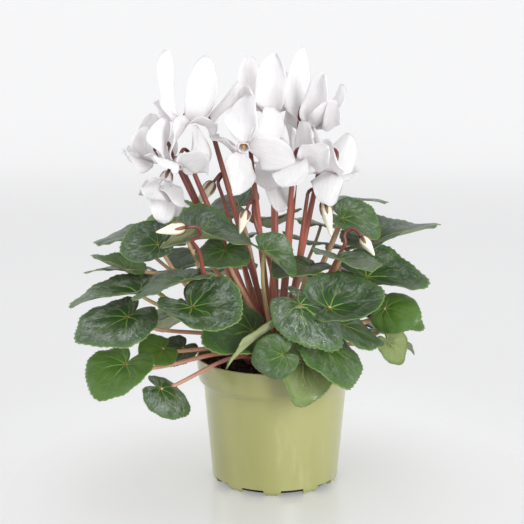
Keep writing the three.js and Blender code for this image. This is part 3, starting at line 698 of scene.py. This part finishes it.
# Pale olive beneath, and a pale line along the edge.
lower = layered(
    (0.24, 0.29, 0.125),
    (eased(wander, -0.2, 0.2), (0.33, 0.36, 0.19)),
    (times(vein, 0.6), (0.48, 0.46, 0.27)),
    (times(rung, 0.4), (0.42, 0.44, 0.25)))
edge_line = (eased(share, 0.965, 0.995, 0, 0.85), (0.27, 0.36, 0.13))
taken("Base Color", layered(upper, (eased(under, 0.55, 0.95), lower), edge_line))
sheen = times(mottle, 0.12, plus=0.29)
taken("Roughness", times(under, 0.2, plus=sheen))
groove = reckoned("SUBTRACT", times(mottle, 0.25), vein)
groove = reckoned("SUBTRACT", groove, times(rung, 0.6))
groove = reckoned("SUBTRACT", groove, times(net, 0.3))
raised(groove, 0.00035)


def leaf_piece(name, leaf, foot, facing, dice, width=1.0):
    """A whole leaf as it grows, blade and stalk in one piece."""
    points, faces, marks = blade(leaf, dice, width)
    stalk_points, stalk_faces = lofted(petiole(leaf, foot, facing))
    count = len(stalk_points)
    added = {"place": stalk_marks(PETIOLE_STEPS, PETIOLE_SIDES, leaf[10]),
             "kind": np.zeros((count, 3)), "under": np.zeros(count)}
    marks = {mark: np.concatenate([marks[mark], added[mark]]) for mark in marks}
    numbers = [0] * len(faces) + [1] * len(stalk_faces)
    made = piece(name, *together([(points, faces), (stalk_points, stalk_faces)]),
                 [leaf_green, leaf_stalk], marks, numbers)
    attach(made, "root")
    return made


dice = np.random.default_rng(11)
for i, leaf in enumerate(LEAVES, 1):
    node = f"leaf_{i:02d}"
    made = leaf_piece(f"blade_{i:02d}", leaf, *foot_of(node), dice)
    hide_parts(node)


# ---------- Inner leaves ----------
# Smaller and deeper leaves of the same kind, which fill the clump between and behind the
# others. Each grows from the crown on its own side, and one is young and still folded.

# The same figures as for the other leaves.
INNER_LEAVES = [
    ((-70, -10, 104), (-84, -24, 94), -20, 10, 6, 0, 0.15, 0.2, 0.0, 0.05, 0.2),
    ((84, 10, 128), (114, 0, 118), 20, 10, 10, 0, 0.95, 0.1, 0.0, 0.05, 0.3),
    ((84, -22, 112), (96, -24, 96), 45, 10, 14, 0, 1.85, 0.1, 0.0, 0.1, 0.4),
    ((-28, 30, 206), (-52, 52, 206), -30, 16, 10, 6, 0.1, 0.3, 0.0, 0.04, 0.3),
    ((0, 35, 196), (-5, 68, 188), -7, 20, 10, 6, 0.2, 0.15, 0.0, 0.04, 0.3),
    ((22, 24, 180), (32, 50, 176), 12, 12, 10, 0, 0.2, 0.3, 0.0, 0.05, 0.3),
    ((76, 33, 157), (107, 48, 147), 7, 10, 10, 4, 0.35, 0.5, 0.0, 0.04, 0.2),
    ((22, 68, 145), (31, 100, 135), 8, -6, 16, 4, 0.25, 0.55, 0.0, 0.04, 0.2),
    ((-6, 70, 128), (-14, 102, 112), 10, 10, 12, 4, 0.6, 0.3, 0.0, 0.04, 0.2),
    ((-80, 54, 151), (-109, 73, 140), 0, 6, 14, 4, 0.3, 0.6, 0.0, 0.04, 0.2),
    ((-70, 50, 118), (-92, 72, 100), -8, 8, 12, 2, 0.7, 0.2, 0.0, 0.04, 0.2),
    ((44, 60, 118), (62, 86, 102), 8, 8, 12, 2, 0.5, 0.4, 0.0, 0.04, 0.2),
    ((81, 19, 109), (111, 31, 93), 2, 8, 12, 2, 0.65, 0.3, 0.0, 0.04, 0.2),
    ((-30, 64, 176), (-40, 94, 171), -3, 14, 8, 4, 0.2, 0.5, 0.0, 0.04, 0.3),
    ((37, 59, 187), (49, 91, 183), 4, 14, 8, 4, 0.3, 0.45, 0.0, 0.04, 0.3),
    ((-82, 19, 124), (-110, 28, 111), -12, 8, 12, 2, 0.5, 0.35, 0.0, 0.04, 0.3),
    ((58, 40, 171), (86, 60, 168), -8, 14, 8, 4, 0.2, 0.4, 0.0, 0.04, 0.3),
]
FOLDED_LEAF = ((4, -91, 142), (-37, -96, 115), 12, 0, 10, 2, 1.95, 0.1, 0.0, 1.1, 0.6)
FOLDED_WIDTH = 0.27


def crown_spot(leaf, dice):
    """A free place on the crown, on the leaf's own side of it, and the way it faces."""
    turn = math.atan2(leaf[0][1], leaf[0][0]) + dice.uniform(-0.3, 0.3)
    slope = dice.uniform(0.35, 0.85)
    out = np.array([math.cos(turn) * math.sin(slope), math.sin(turn) * math.sin(slope), math.cos(slope)])
    return TUBER_MIDDLE + out * TUBER_SIZE, unit(out / TUBER_SIZE)


dice = np.random.default_rng(31)
for i, leaf in enumerate(INNER_LEAVES, 1):
    leaf_piece(f"inner_leaf_{i:02d}", leaf, *crown_spot(leaf, dice), dice)

leaf_piece("folded_leaf", FOLDED_LEAF, *crown_spot(FOLDED_LEAF, dice), dice, FOLDED_WIDTH)


# ---------- Flower stalks ----------
# Dark red-brown fleshy stalks, thicker than the leaf stalks, that rise above the leaves and hook
# over at the top, so that each flower nods. Five small pointed sepals clasp the flower's neck.

FLOWER_SIDES = 12
HOOK_RADIUS = 6
TUBE_HEIGHT = 7
FLOWER_GAP = 0.4
FLOWER_STALK_THICK = 2.3
FLOWER_STALK_THIN = 1.35
SEPALS = 5
FLOWER_SEPAL = 6.0
# The skin that the sepals lie on: distance below the neck, and radius there.
FLOWER_NECK = [(0, 1.5), (0.6, 2.3), (1.3, 3.2), (3, 4.0), (5.2, 4.7), (7, 4.8)]

# mouth: the flower's throat; axis: the way its petals stand; side: the side its stalk comes up
# on; tips: each petal's tip from the throat.
FLOWERS = [
    ((-64, -4, 274), (0.1, 0.2, 1), (1, 0.3, 0),
     ((-15, 0, 52), (14, -4, 48), (37, 8, 28), (-20, -25, 16), (20, -24, 0))),
    ((-92, 2, 244), (0.2, 0.2, 1), (1, 0.3, 0),
     ((-16, -29, 7), (0, 20, 34), (17, 22, 30), (-19, 28, 12), (-2, -30, 26))),
    ((-70, -44, 245), (0.2, 0.6, 0.8), (0.6, 1, 0),
     ((5, 22, 33), (24, -22, 8), (-12, 22, 31), (15, 21, 27), (-16, -28, 8))),
    ((-80, -22, 232), (0.3, 0.2, 1), (1, 0.6, 0),
     ((-9, -33, -12), (-2, -20, -28), (3, 22, -28), (13, -28, -16), (-18, 26, -14))),
    ((-23, -44, 258), (0, 0.8, 0.4), (0.2, 1, 0),
     ((1, 18, 38), (-17, 34, 6), (-5, -25, -28), (23, 25, 25), (34, -20, -7))),
    ((0, -8, 244), (0, 0.6, 0.6), (0, 1, 0),
     ((-7, 28, 30), (12, 30, 27), (3, -22, -33), (-6, -37, -18), (-22, 28, 3))),
    ((17, -50, 246), (0, 0.6, 0.7), (-0.3, 1, 0),
     ((2, 30, 29), (13, 32, 25), (-14, 34, 16), (17, -31, 14), (-11, -35, -11))),
    ((-6, 14, 280), (0.1, 0.2, 1), (0.3, 1, 0),
     ((-14, 16, 41), (6, -16, 43), (25, 28, 20), (13, 34, 29), (-16, -32, 17))),
    ((28, 4, 269), (0.2, 0.2, 1), (-1, -0.2, 0),
     ((-9, 21, 58), (8, -21, 40), (24, 26, 30), (15, -32, 19), (-12, 34, 21))),
    ((42, -12, 237), (0.3, 0.2, 0.9), (-1, 0.3, 0),
     ((-11, 30, 24), (13, 27, 27), (15, 32, 3), (-3, -31, 26), (-9, -32, -20))),
]


def squared_to(vector, axis):
    """The part of a vector that is square to the axis, one long."""
    vector = np.asarray(vector, float)
    return unit(vector - axis * vector.dot(axis))


def smooth_run(knots, steps):
    """Evenly spaced points on a smooth curve through the knots."""
    knots = np.asarray(knots, float)
    ends = np.concatenate([[2 * knots[0] - knots[1]], knots, [2 * knots[-1] - knots[-2]]])
    dense = []
    for a, b, c, d in zip(ends, ends[1:], ends[2:], ends[3:]):
        gaps = [np.linalg.norm(q - p) ** 0.5 for p, q in ((a, b), (b, c), (c, d))]
        leave = ((b - a) / gaps[0] - (c - a) / (gaps[0] + gaps[1]) + (c - b) / gaps[1]) * gaps[1]
        reach = ((c - b) / gaps[1] - (d - b) / (gaps[1] + gaps[2]) + (d - c) / gaps[2]) * gaps[1]
        for t in np.linspace(0, 1, 24, endpoint=False):
            cubic = 2 * b - 2 * c + leave + reach
            square = -3 * b + 3 * c - 2 * leave - reach
            dense.append(b + leave * t + square * t ** 2 + cubic * t ** 3)
    dense = np.array([*dense, knots[-1]])
    passed = np.concatenate([[0], np.cumsum(np.linalg.norm(np.diff(dense, axis=0), axis=1))])
    even = np.linspace(0, passed[-1], steps)
    return np.stack([np.interp(even, passed, dense[:, k]) for k in range(3)], 1)


def stalk_run(neck, axis, side, bow, foot, facing):
    """The middle line of a flower or bud stalk, from the crown over its hook to the neck."""
    hook = []
    for degrees in (180, 135, 90, 45):
        turn = math.radians(degrees)
        lift = HOOK_RADIUS * (0.6 + math.sin(turn))
        hook.append(neck + axis * lift + side * HOOK_RADIUS * (1 - math.cos(turn)))
    rise = hook[0] - foot
    middle = foot + 0.55 * rise + 6 * facing + np.asarray(bow, float)
    below = hook[0] - 10 * unit(rise)
    knots = [foot, foot + 10 * facing, middle, below, *hook, neck]
    run = smooth_run(knots, 70)
    run[0] -= 0.6 * facing
    return run


def stalk_radii(steps, thick, thin):
    """Thick for most of the way, thinner over the hook, and swollen at the neck."""
    share = np.linspace(0, 1, steps)
    radii = thick + (thin - thick) * np.clip((share - 0.55) / 0.4, 0, 1) ** 1.2
    return radii * (1 + 0.12 * np.exp(-((share / 0.02) ** 2)))


def sepals(neck, axis, side, length, skin):
    """Narrow pointed sepals lying down from the neck over the flower; skin is its own shape
    below the neck, as pairs of distance and radius."""
    stacks = []
    other = np.cross(axis, side)
    distances, radii = np.transpose(skin)
    for k in range(SEPALS):
        turn = 2 * math.pi * (k + 0.3) / SEPALS
        out = math.cos(turn) * side + math.sin(turn) * other
        across = np.cross(axis, out)
        rings = []
        for t in np.linspace(0, 1, 11):
            reach = np.interp(length * t, distances, radii) + 0.45 - 0.2 * t
            middle = neck + out * reach - axis * length * t
            wide = 1.9 * (1 - t) ** 0.6 * (0.5 + 0.8 * t) + 0.05
            section = [(math.cos(a) * wide, math.sin(a) * 0.3) for a in np.arange(8) * math.pi / 4]
            rings.append([middle + across * u + out * (v - 0.5 * u * u / reach) for u, v in section])
        stacks.append(np.array(rings) * MM)
    return stacks


def joined(name, groups, finishes):
    """Stacks of rings made into one piece; groups are (stacks, finish number, kind)."""
    skins, places, numbers = [], [], []
    for stacks, number, kind in groups:
        for rings in stacks:
            skins.append(lofted(rings))
            places.append(stalk_marks(len(rings), rings.shape[1], kind))
            numbers += [number] * len(skins[-1][1])
    return piece(name, *together(skins), finishes, {"place": np.concatenate(places)}, numbers)


flower_stalk = finish("flower_stalk_red", Roughness=0.40, Subsurface_Weight=0.08,
                      Subsurface_Radius=(0.002, 0.0008, 0.0006))
up_stalk = kept_at("place")[0]
streak = cloudy(stretched(where, (1, 1, 0.08)), 800, 4, 0.6)
taken("Base Color", layered(
    (0.40, 0.160, 0.130),
    (eased(up_stalk, 0.15, 0.55), (0.385, 0.120, 0.078)),
    (eased(up_stalk, 0.5, 0.93), (0.125, 0.028, 0.026)),
    (eased(streak, 0.45, 0.75, 0, 0.5), (0.235, 0.055, 0.040))))
raised(streak, 0.00012)

sepal_brown = finish("sepal_brown", Roughness=0.55)
fleck = cloudy(where, 1500, 3)
taken("Base Color", layered(
    (0.10, 0.050, 0.025),
    (eased(kept_at("place")[0], 0.1, 0.9), (0.235, 0.135, 0.060)),
    (eased(fleck, 0.5, 0.7, 0, 0.6), (0.065, 0.020, 0.015))))
raised(fleck, 0.0001)

for i, (mouth, axis, side, _) in enumerate(FLOWERS, 1):
    axis = unit(axis)
    side = squared_to(side, axis)
    neck = np.asarray(mouth, float) + axis * (TUBE_HEIGHT + FLOWER_GAP)
    foot, facing = foot_of(f"flower_stalk_{i:02d}")
    run = stalk_run(neck, axis, side, (0, 0, 0), foot, facing)
    radii = stalk_radii(len(run), FLOWER_STALK_THICK, FLOWER_STALK_THIN)
    stem = tube(run, radii, FLOWER_SIDES) * MM
    cup = sepals(neck, axis, side, FLOWER_SEPAL, FLOWER_NECK)
    made = joined(f"stalk_{i:02d}", [([stem], 0, 0), (cup, 1, 0)], [flower_stalk, sepal_brown])
    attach(made, "root")
    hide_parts(f"flower_stalk_{i:02d}")


# ---------- Flowers ----------
# Each flower is one piece: a short urn, open downwards, from whose rim five broad silky white
# petals sweep out and back up, all twisted the same way, with softly ruffled edges. The cone of
# yellow-brown anthers shows in the throat.

PETAL_WIDTH = 24
PETAL_THICKNESS = 0.45
PETAL_WIDEST = 0.62
THROAT_RADIUS = 4.2
ALONG = 26
ACROSS = 15
# Degrees that a petal is twisted by its tip, in most flowers and in the low one on the left.
TWIST = 34
LOW_FLOWER = 4
LOW_TWIST = 12
# Degrees more or less for single petals, by flower and petal.
TURNED = {(1, 0): 50, (8, 1): -20, (9, 1): 20}


def petal(mouth, axis, tip, dice, lean):
    """One petal, twisted by lean degrees, as a closed skin: its points, faces and places."""
    tip = np.asarray(tip, float)
    outward = squared_to(tip, axis)
    across = np.cross(axis, outward)
    foot = mouth + outward * (THROAT_RADIUS - 0.4)
    bend = foot + outward * 8 - axis * 2
    end = mouth + tip
    share = np.linspace(0, 1, ALONG)[:, None]
    spine = (1 - share) ** 2 * foot + 2 * share * (1 - share) * bend + share ** 2 * end
    way = np.gradient(spine, axis=0)
    way /= np.linalg.norm(way, axis=1)[:, None]
    face = np.cross(across, way)
    face /= np.linalg.norm(face, axis=1)[:, None]
    s = share[:, 0]
    opening = 0.27 + 0.73 * np.sin(np.pi / 2 * np.minimum(s / PETAL_WIDEST, 1)) ** 1.25
    past = np.clip(s - PETAL_WIDEST, 0, 1) / (1.005 - PETAL_WIDEST)
    closing = np.clip(1 - past ** 2.4, 0.003, 1) ** 0.54
    outline = np.where(s < PETAL_WIDEST, opening, closing)
    half_width = PETAL_WIDTH * dice.uniform(0.93, 1.05) / 2 * outline
    twist = np.radians(lean) * s ** 1.2
    ripple, sway = dice.uniform(0, 6), dice.uniform(-1, 1)
    recurve, cup = dice.uniform(-1, 0.4), dice.uniform(0.05, 0.55)
    v = np.linspace(-1, 1, ACROSS)[None, :]
    u = half_width[:, None] * v
    # Cupped across, ruffled at the edges, swayed, curled back at the tip, grooved at the foot.
    depth = cup * np.abs(u) * np.abs(v) * np.minimum(1, s * 2)[:, None]
    depth = depth + 2.3 * np.abs(v) ** 2.5 * np.sin(10 * share + ripple + 2.6 * v) * np.minimum(1, 3 * share)
    depth = depth + 2.6 * sway * np.sin(math.pi * share) * v
    near_tip = np.clip((share - PETAL_WIDEST) / (1 - PETAL_WIDEST), 0, 1)
    depth = depth + 4.5 * recurve * near_tip ** 2
    depth = depth - 0.5 * np.exp(-((v / 0.12) ** 2)) * (1 - share)
    side = np.cos(twist)[:, None] * across + np.sin(twist)[:, None] * face
    front = np.cos(twist)[:, None] * face - np.sin(twist)[:, None] * across
    points = spine[:, None] + u[..., None] * side[:, None] + depth[..., None] * front[:, None]
    normal = np.cross(np.gradient(points, axis=0), np.gradient(points, axis=1))
    normal /= np.linalg.norm(normal, axis=2)[..., None] + 1e-9
    edge = np.sqrt(np.clip(1 - v ** 8, 0, 1)) * np.sqrt(np.clip(1 - s ** 16, 0, 1))[:, None]
    half = (PETAL_THICKNESS / 2 * edge)[..., None] + 0.02
    skin = np.stack([points + half * normal, points - half * normal])
    faces = []
    front_of = lambda i, j: i * ACROSS + j
    back_of = lambda i, j: ALONG * ACROSS + i * ACROSS + j
    for i in range(ALONG - 1):
        for j in range(ACROSS - 1):
            faces.append((front_of(i, j), front_of(i + 1, j), front_of(i + 1, j + 1), front_of(i, j + 1)))
            faces.append((back_of(i, j), back_of(i, j + 1), back_of(i + 1, j + 1), back_of(i + 1, j)))
        for j, flip in ((0, 1), (ACROSS - 1, -1)):
            faces.append((front_of(i, j), back_of(i, j), back_of(i + 1, j), front_of(i + 1, j))[::flip])
    for j in range(ACROSS - 1):
        for i, flip in ((0, -1), (ALONG - 1, 1)):
            faces.append((front_of(i, j), back_of(i, j), back_of(i, j + 1), front_of(i, j + 1))[::flip])
    place = np.stack(np.broadcast_arrays(v, share, np.full_like(v * share, ripple / 6)), 2)
    return skin.reshape(-1, 3) * MM, faces, np.concatenate([place.reshape(-1, 3)] * 2)


petal_white = finish("petal_white", Roughness=0.55, Subsurface_Weight=0.6, Subsurface_Scale=1.0,
                     Sheen_Weight=0.12, Subsurface_Radius=(0.006, 0.0051, 0.0053))
place = laid("Attribute", out="Vector", attribute_name="place")
up_petal = kept_at("place")[1]
vein = cloudy(stretched(place, (9, 1.1, 4)), 2.2, 4, 0.6)
# Pinkish grey towards the throat: partly the petals' own blush, and partly painted shade where the petals
# close together at the middle of the flower.
throat_blush_and_painted_shade = times(eased(up_petal, 0.0, 0.45, 1, 0), 0.8)
cloud = eased(cloudy(where, 60, 2), 0.35, 0.65)
taken("Base Color", layered(
    (0.715, 0.685, 0.70),
    (cloud, (0.775, 0.75, 0.76)),
    (throat_blush_and_painted_shade, (0.64, 0.555, 0.585)),
    (eased(vein, 0.45, 0.75, 0, 0.5), (0.60, 0.53, 0.565)),
    (eased(up_petal, 0.0, 0.07, 0.7, 0), (0.58, 0.47, 0.40))))
raised(vein, 0.0003)

anther_yellow = finish("anther_yellow", Roughness=0.85)
powder = cloudy(where, 2200, 3)
taken("Base Color", layered((0.30, 0.13, 0.035), (eased(powder, 0.35, 0.65), (0.62, 0.42, 0.12))))
raised(powder, 0.0002)


def stood_on(profile, sides, origin, axis, lobes=0.0):
    """A turned profile stood along an axis from a place, its rings lobed in five if asked."""
    side = squared_to((0.31, 0.5, 0.77), axis)
    turns = turns_of(sides)
    reach = (1 + lobes * np.cos(5 * turns))[:, None] * spokes(turns, side, np.cross(axis, side))
    return np.array([origin + axis * height + radius * reach for radius, height in profile]) * MM


# The urn's skin, from the middle of its inside over the rim to its top, and the anthers' cone.
URN = [(0.05, 5.8), (1.8, 5.4), (3.1, 3.8), (3.5, 2), (3.5, 0.6), (3.5, -0.5), (4.0, -0.9), (4.6, -0.6),
       (4.7, 0.4), (4.5, 2.2), (3.9, 4.4), (3.1, 6.2), (2.2, 6.9), (0.05, 7.0)]
CONE = [(0.3, 5.5), (1.5, 4.6), (1.9, 2.6), (1.3, 0.6), (0.6, -0.9), (0.35, -2.0), (0.3, -2.6)]

dice = np.random.default_rng(23)
for i, (mouth, axis, _, tips) in enumerate(FLOWERS, 1):
    mouth = np.asarray(mouth, float)
    axis = unit(axis)
    lean = LOW_TWIST if i == LOW_FLOWER else TWIST
    skins = []
    for k, tip in enumerate(tips):
        twist = lean + dice.uniform(-8, 8) + TURNED.get((i, k), 0)
        skins.append(petal(mouth, axis, tip, dice, twist))
    for profile, sides, lobes, as_far_up in ((URN, 30, 0.06, 0.12), (CONE, 20, 0.12, 0.5)):
        points, faces = lofted(stood_on(profile, sides, mouth, axis, lobes))
        skins.append((points, faces, np.tile([0.4, as_far_up, 0.5], (len(points), 1))))
    points, faces = together(skins)
    places = np.concatenate([place for _, _, place in skins])
    cone_faces = len(skins[-1][1])
    numbers = [0] * (len(faces) - cone_faces) + [1] * cone_faces
    made = piece(f"flower_{i:02d}", points, faces, [petal_white, anther_yellow], {"place": places}, numbers)
    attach(made, "root")
    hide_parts(f"corolla_{i:02d}")


# ---------- Buds ----------
# Closed buds hang from thinner hooked stalks: five cream-white petals rolled one over another
# into a long twisted point, clasped at the neck by brown sepals.

# at: the neck; tip: the point; side: the side its stalk comes up on; bow: how far the stalk
# bends aside; radius: of the bud's thickest part.
BUDS = [
    ((-62, -82, 207), (-82, -86, 204), (0.3, 0.6, -1), (-8, -2, -12), 4.4),
    ((-21, -38, 213), (-26, -42, 196), (0.4, 1, 0), (6, -12, 0), 4.0),
    ((35, -30, 219), (40, -36, 193), (-1, 0, 0), (0, 0, 0), 4.3),
    ((62, -34, 193), (71, -40, 180), (-1, 0.3, 0), (0, 0, 0), 4.0),
    ((-46, -1, 229), (-60, -7, 210), (0.3, 1, 0), (0, 0, 0), 4.4),
]
BUD_STALK_THICK = 1.75
BUD_STALK_THIN = 1.2
GREEN_BUD = 5
# Share of the way from neck to point, and share of the full radius there.
BUD_PROFILE = [(0, 0.25), (0.04, 0.62), (0.12, 0.88), (0.24, 1.0), (0.36, 0.96), (0.5, 0.80), (0.64, 0.62),
               (0.76, 0.46), (0.86, 0.33), (0.94, 0.2), (1.0, 0.05)]

bud_cream = finish("bud_cream", Roughness=0.5, Subsurface_Weight=0.3,
                   Subsurface_Radius=(0.003, 0.0025, 0.002))
down_bud, green, _ = kept_at("place")
fleck = cloudy(where, 500, 4, 0.6)
taken("Base Color", layered(
    (0.56, 0.42, 0.30),
    (eased(down_bud, 0.05, 0.45), (0.82, 0.77, 0.64)),
    (eased(fleck, 0.45, 0.75, 0, 0.45), (0.66, 0.56, 0.42)),
    (times(green, eased(down_bud, 0.2, 0.9, 0.3, 0.8)), (0.36, 0.42, 0.27))))
raised(fleck, 0.00025)

for i, (at, tip, side, bow, radius) in enumerate(BUDS, 1):
    neck, tip = np.asarray(at, float), np.asarray(tip, float)
    axis = unit(neck - tip)
    side = squared_to(side, axis)
    length = np.linalg.norm(neck - tip)
    foot, facing = foot_of(f"bud_{i:02d}")
    run = stalk_run(neck, axis, side, bow, foot, facing)
    stem = tube(run, stalk_radii(len(run), BUD_STALK_THICK, BUD_STALK_THIN), FLOWER_SIDES) * MM
    turns = turns_of(30)
    ridges = (0.95 + 0.10 * np.abs(np.sin(2.5 * turns)) ** 0.7)[:, None]
    rings = []
    for share, size in BUD_PROFILE:
        rolled = spokes(turns + 1.5 * share, side, np.cross(axis, side))
        rings.append(neck - axis * (length * share) + radius * size * ridges * rolled)
    body = np.array(rings) * MM
    skin = [(length * share, radius * size * 1.05) for share, size in BUD_PROFILE]
    skin[0] = (0, 1.3)
    cup = sepals(neck, axis, side, 0.40 * length, skin)
    made = joined(f"hanging_bud_{i:02d}", [([stem], 0, 0), (cup, 1, 0), ([body], 2, float(i == GREEN_BUD))],
                  [flower_stalk, sepal_brown, bud_cream])
    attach(made, "root")
    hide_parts(f"bud_{i:02d}")


# ---------- Studio ----------
# A pale table, glossy only round the pot, that curves up into a pale surround on all sides. The
# light is soft: a tall window from the front right, a weaker one from the left and a wide one
# from above. The first two leave the table alone, so that no side of it is overlit.

sweep = [(0.01, 0), (2.6, 0), *arc(2.6, 1.4, 1.4, -84, 0, 14), (4.0, 2.2)]
points, faces = lofted(turned(sweep, 128) / MM)
# The fan of faces round the last point would be a lid.
open_above = [face for face in faces if len(points) - 1 not in face]
floor = piece("studio_floor", points[:-1], open_above, [])
floor_white = finish("floor_white", Emission_Strength=0.27, Emission_Color=(1, 1, 1, 1))
far = laid("VectorMath", {0: where}, out=1, operation="LENGTH")
taken("Base Color", layered((0.70, 0.70, 0.702), (eased(far, 1.0, 3.4), (0.86, 0.86, 0.862))))
taken("Roughness", eased(far, 0.15, 0.45, 0.22, 0.9))
taken("Specular IOR Level", eased(far, 0.15, 0.45, 0.4, 0))
floor.data.materials.append(floor_white)

# What the window and the fill don't light.
unlit = bpy.data.collections.new("not_lit_by_the_side_lamps")
unlit.objects.link(floor)
unlit.collection_objects[0].light_linking.link_state = "EXCLUDE"

world = bpy.data.worlds.new("surround")
world.use_nodes = True
surround = world.node_tree.nodes["Background"].inputs
surround["Color"].default_value = (0.95, 0.955, 0.97, 1)
surround["Strength"].default_value = 0.68
scene = bpy.context.scene
scene.world = world

# name, place, width, height and watts
LAMPS = [
    ("window", (0.62, -1.20, 0.45), 0.35, 1.0, 19),
    ("fill", (-1.3, 0.25, 0.5), 0.6, 1.2, 9.5),
    ("overhead", (0.05, 0.05, 1.5), 1.1, 1.1, 3),
]
AIM = Vector((0, 0, 0.16))
for name, place, wide, high, power in LAMPS:
    lamp = bpy.data.lights.new(name, "AREA")
    lamp.shape = "RECTANGLE"
    lamp.size = wide
    lamp.size_y = high
    lamp.energy = power
    lit = bpy.data.objects.new(name, lamp)
    if name != "overhead":
        lit.light_linking.receiver_collection = unlit
    lit.location = place
    lit.rotation_euler = (AIM - Vector(place)).to_track_quat("-Z", "Y").to_euler()
    scene.collection.objects.link(lit)

# The camera stands as high as the flowers and looks a little down.
CAMERA_PLACE = (-0.010, -0.880, 0.325)
LOOKING_DOWN = 10.1
SENSOR_WIDTH = 36
FOCAL_LENGTH = 81.412214
lens = bpy.data.cameras.new("camera")
lens.sensor_width = SENSOR_WIDTH
lens.lens = FOCAL_LENGTH
camera = bpy.data.objects.new("camera", lens)
camera.location = CAMERA_PLACE
camera.rotation_euler = (math.radians(90 - LOOKING_DOWN), 0, 0)
scene.collection.objects.link(camera)
scene.camera = camera
scene.view_settings.view_transform = "Standard"
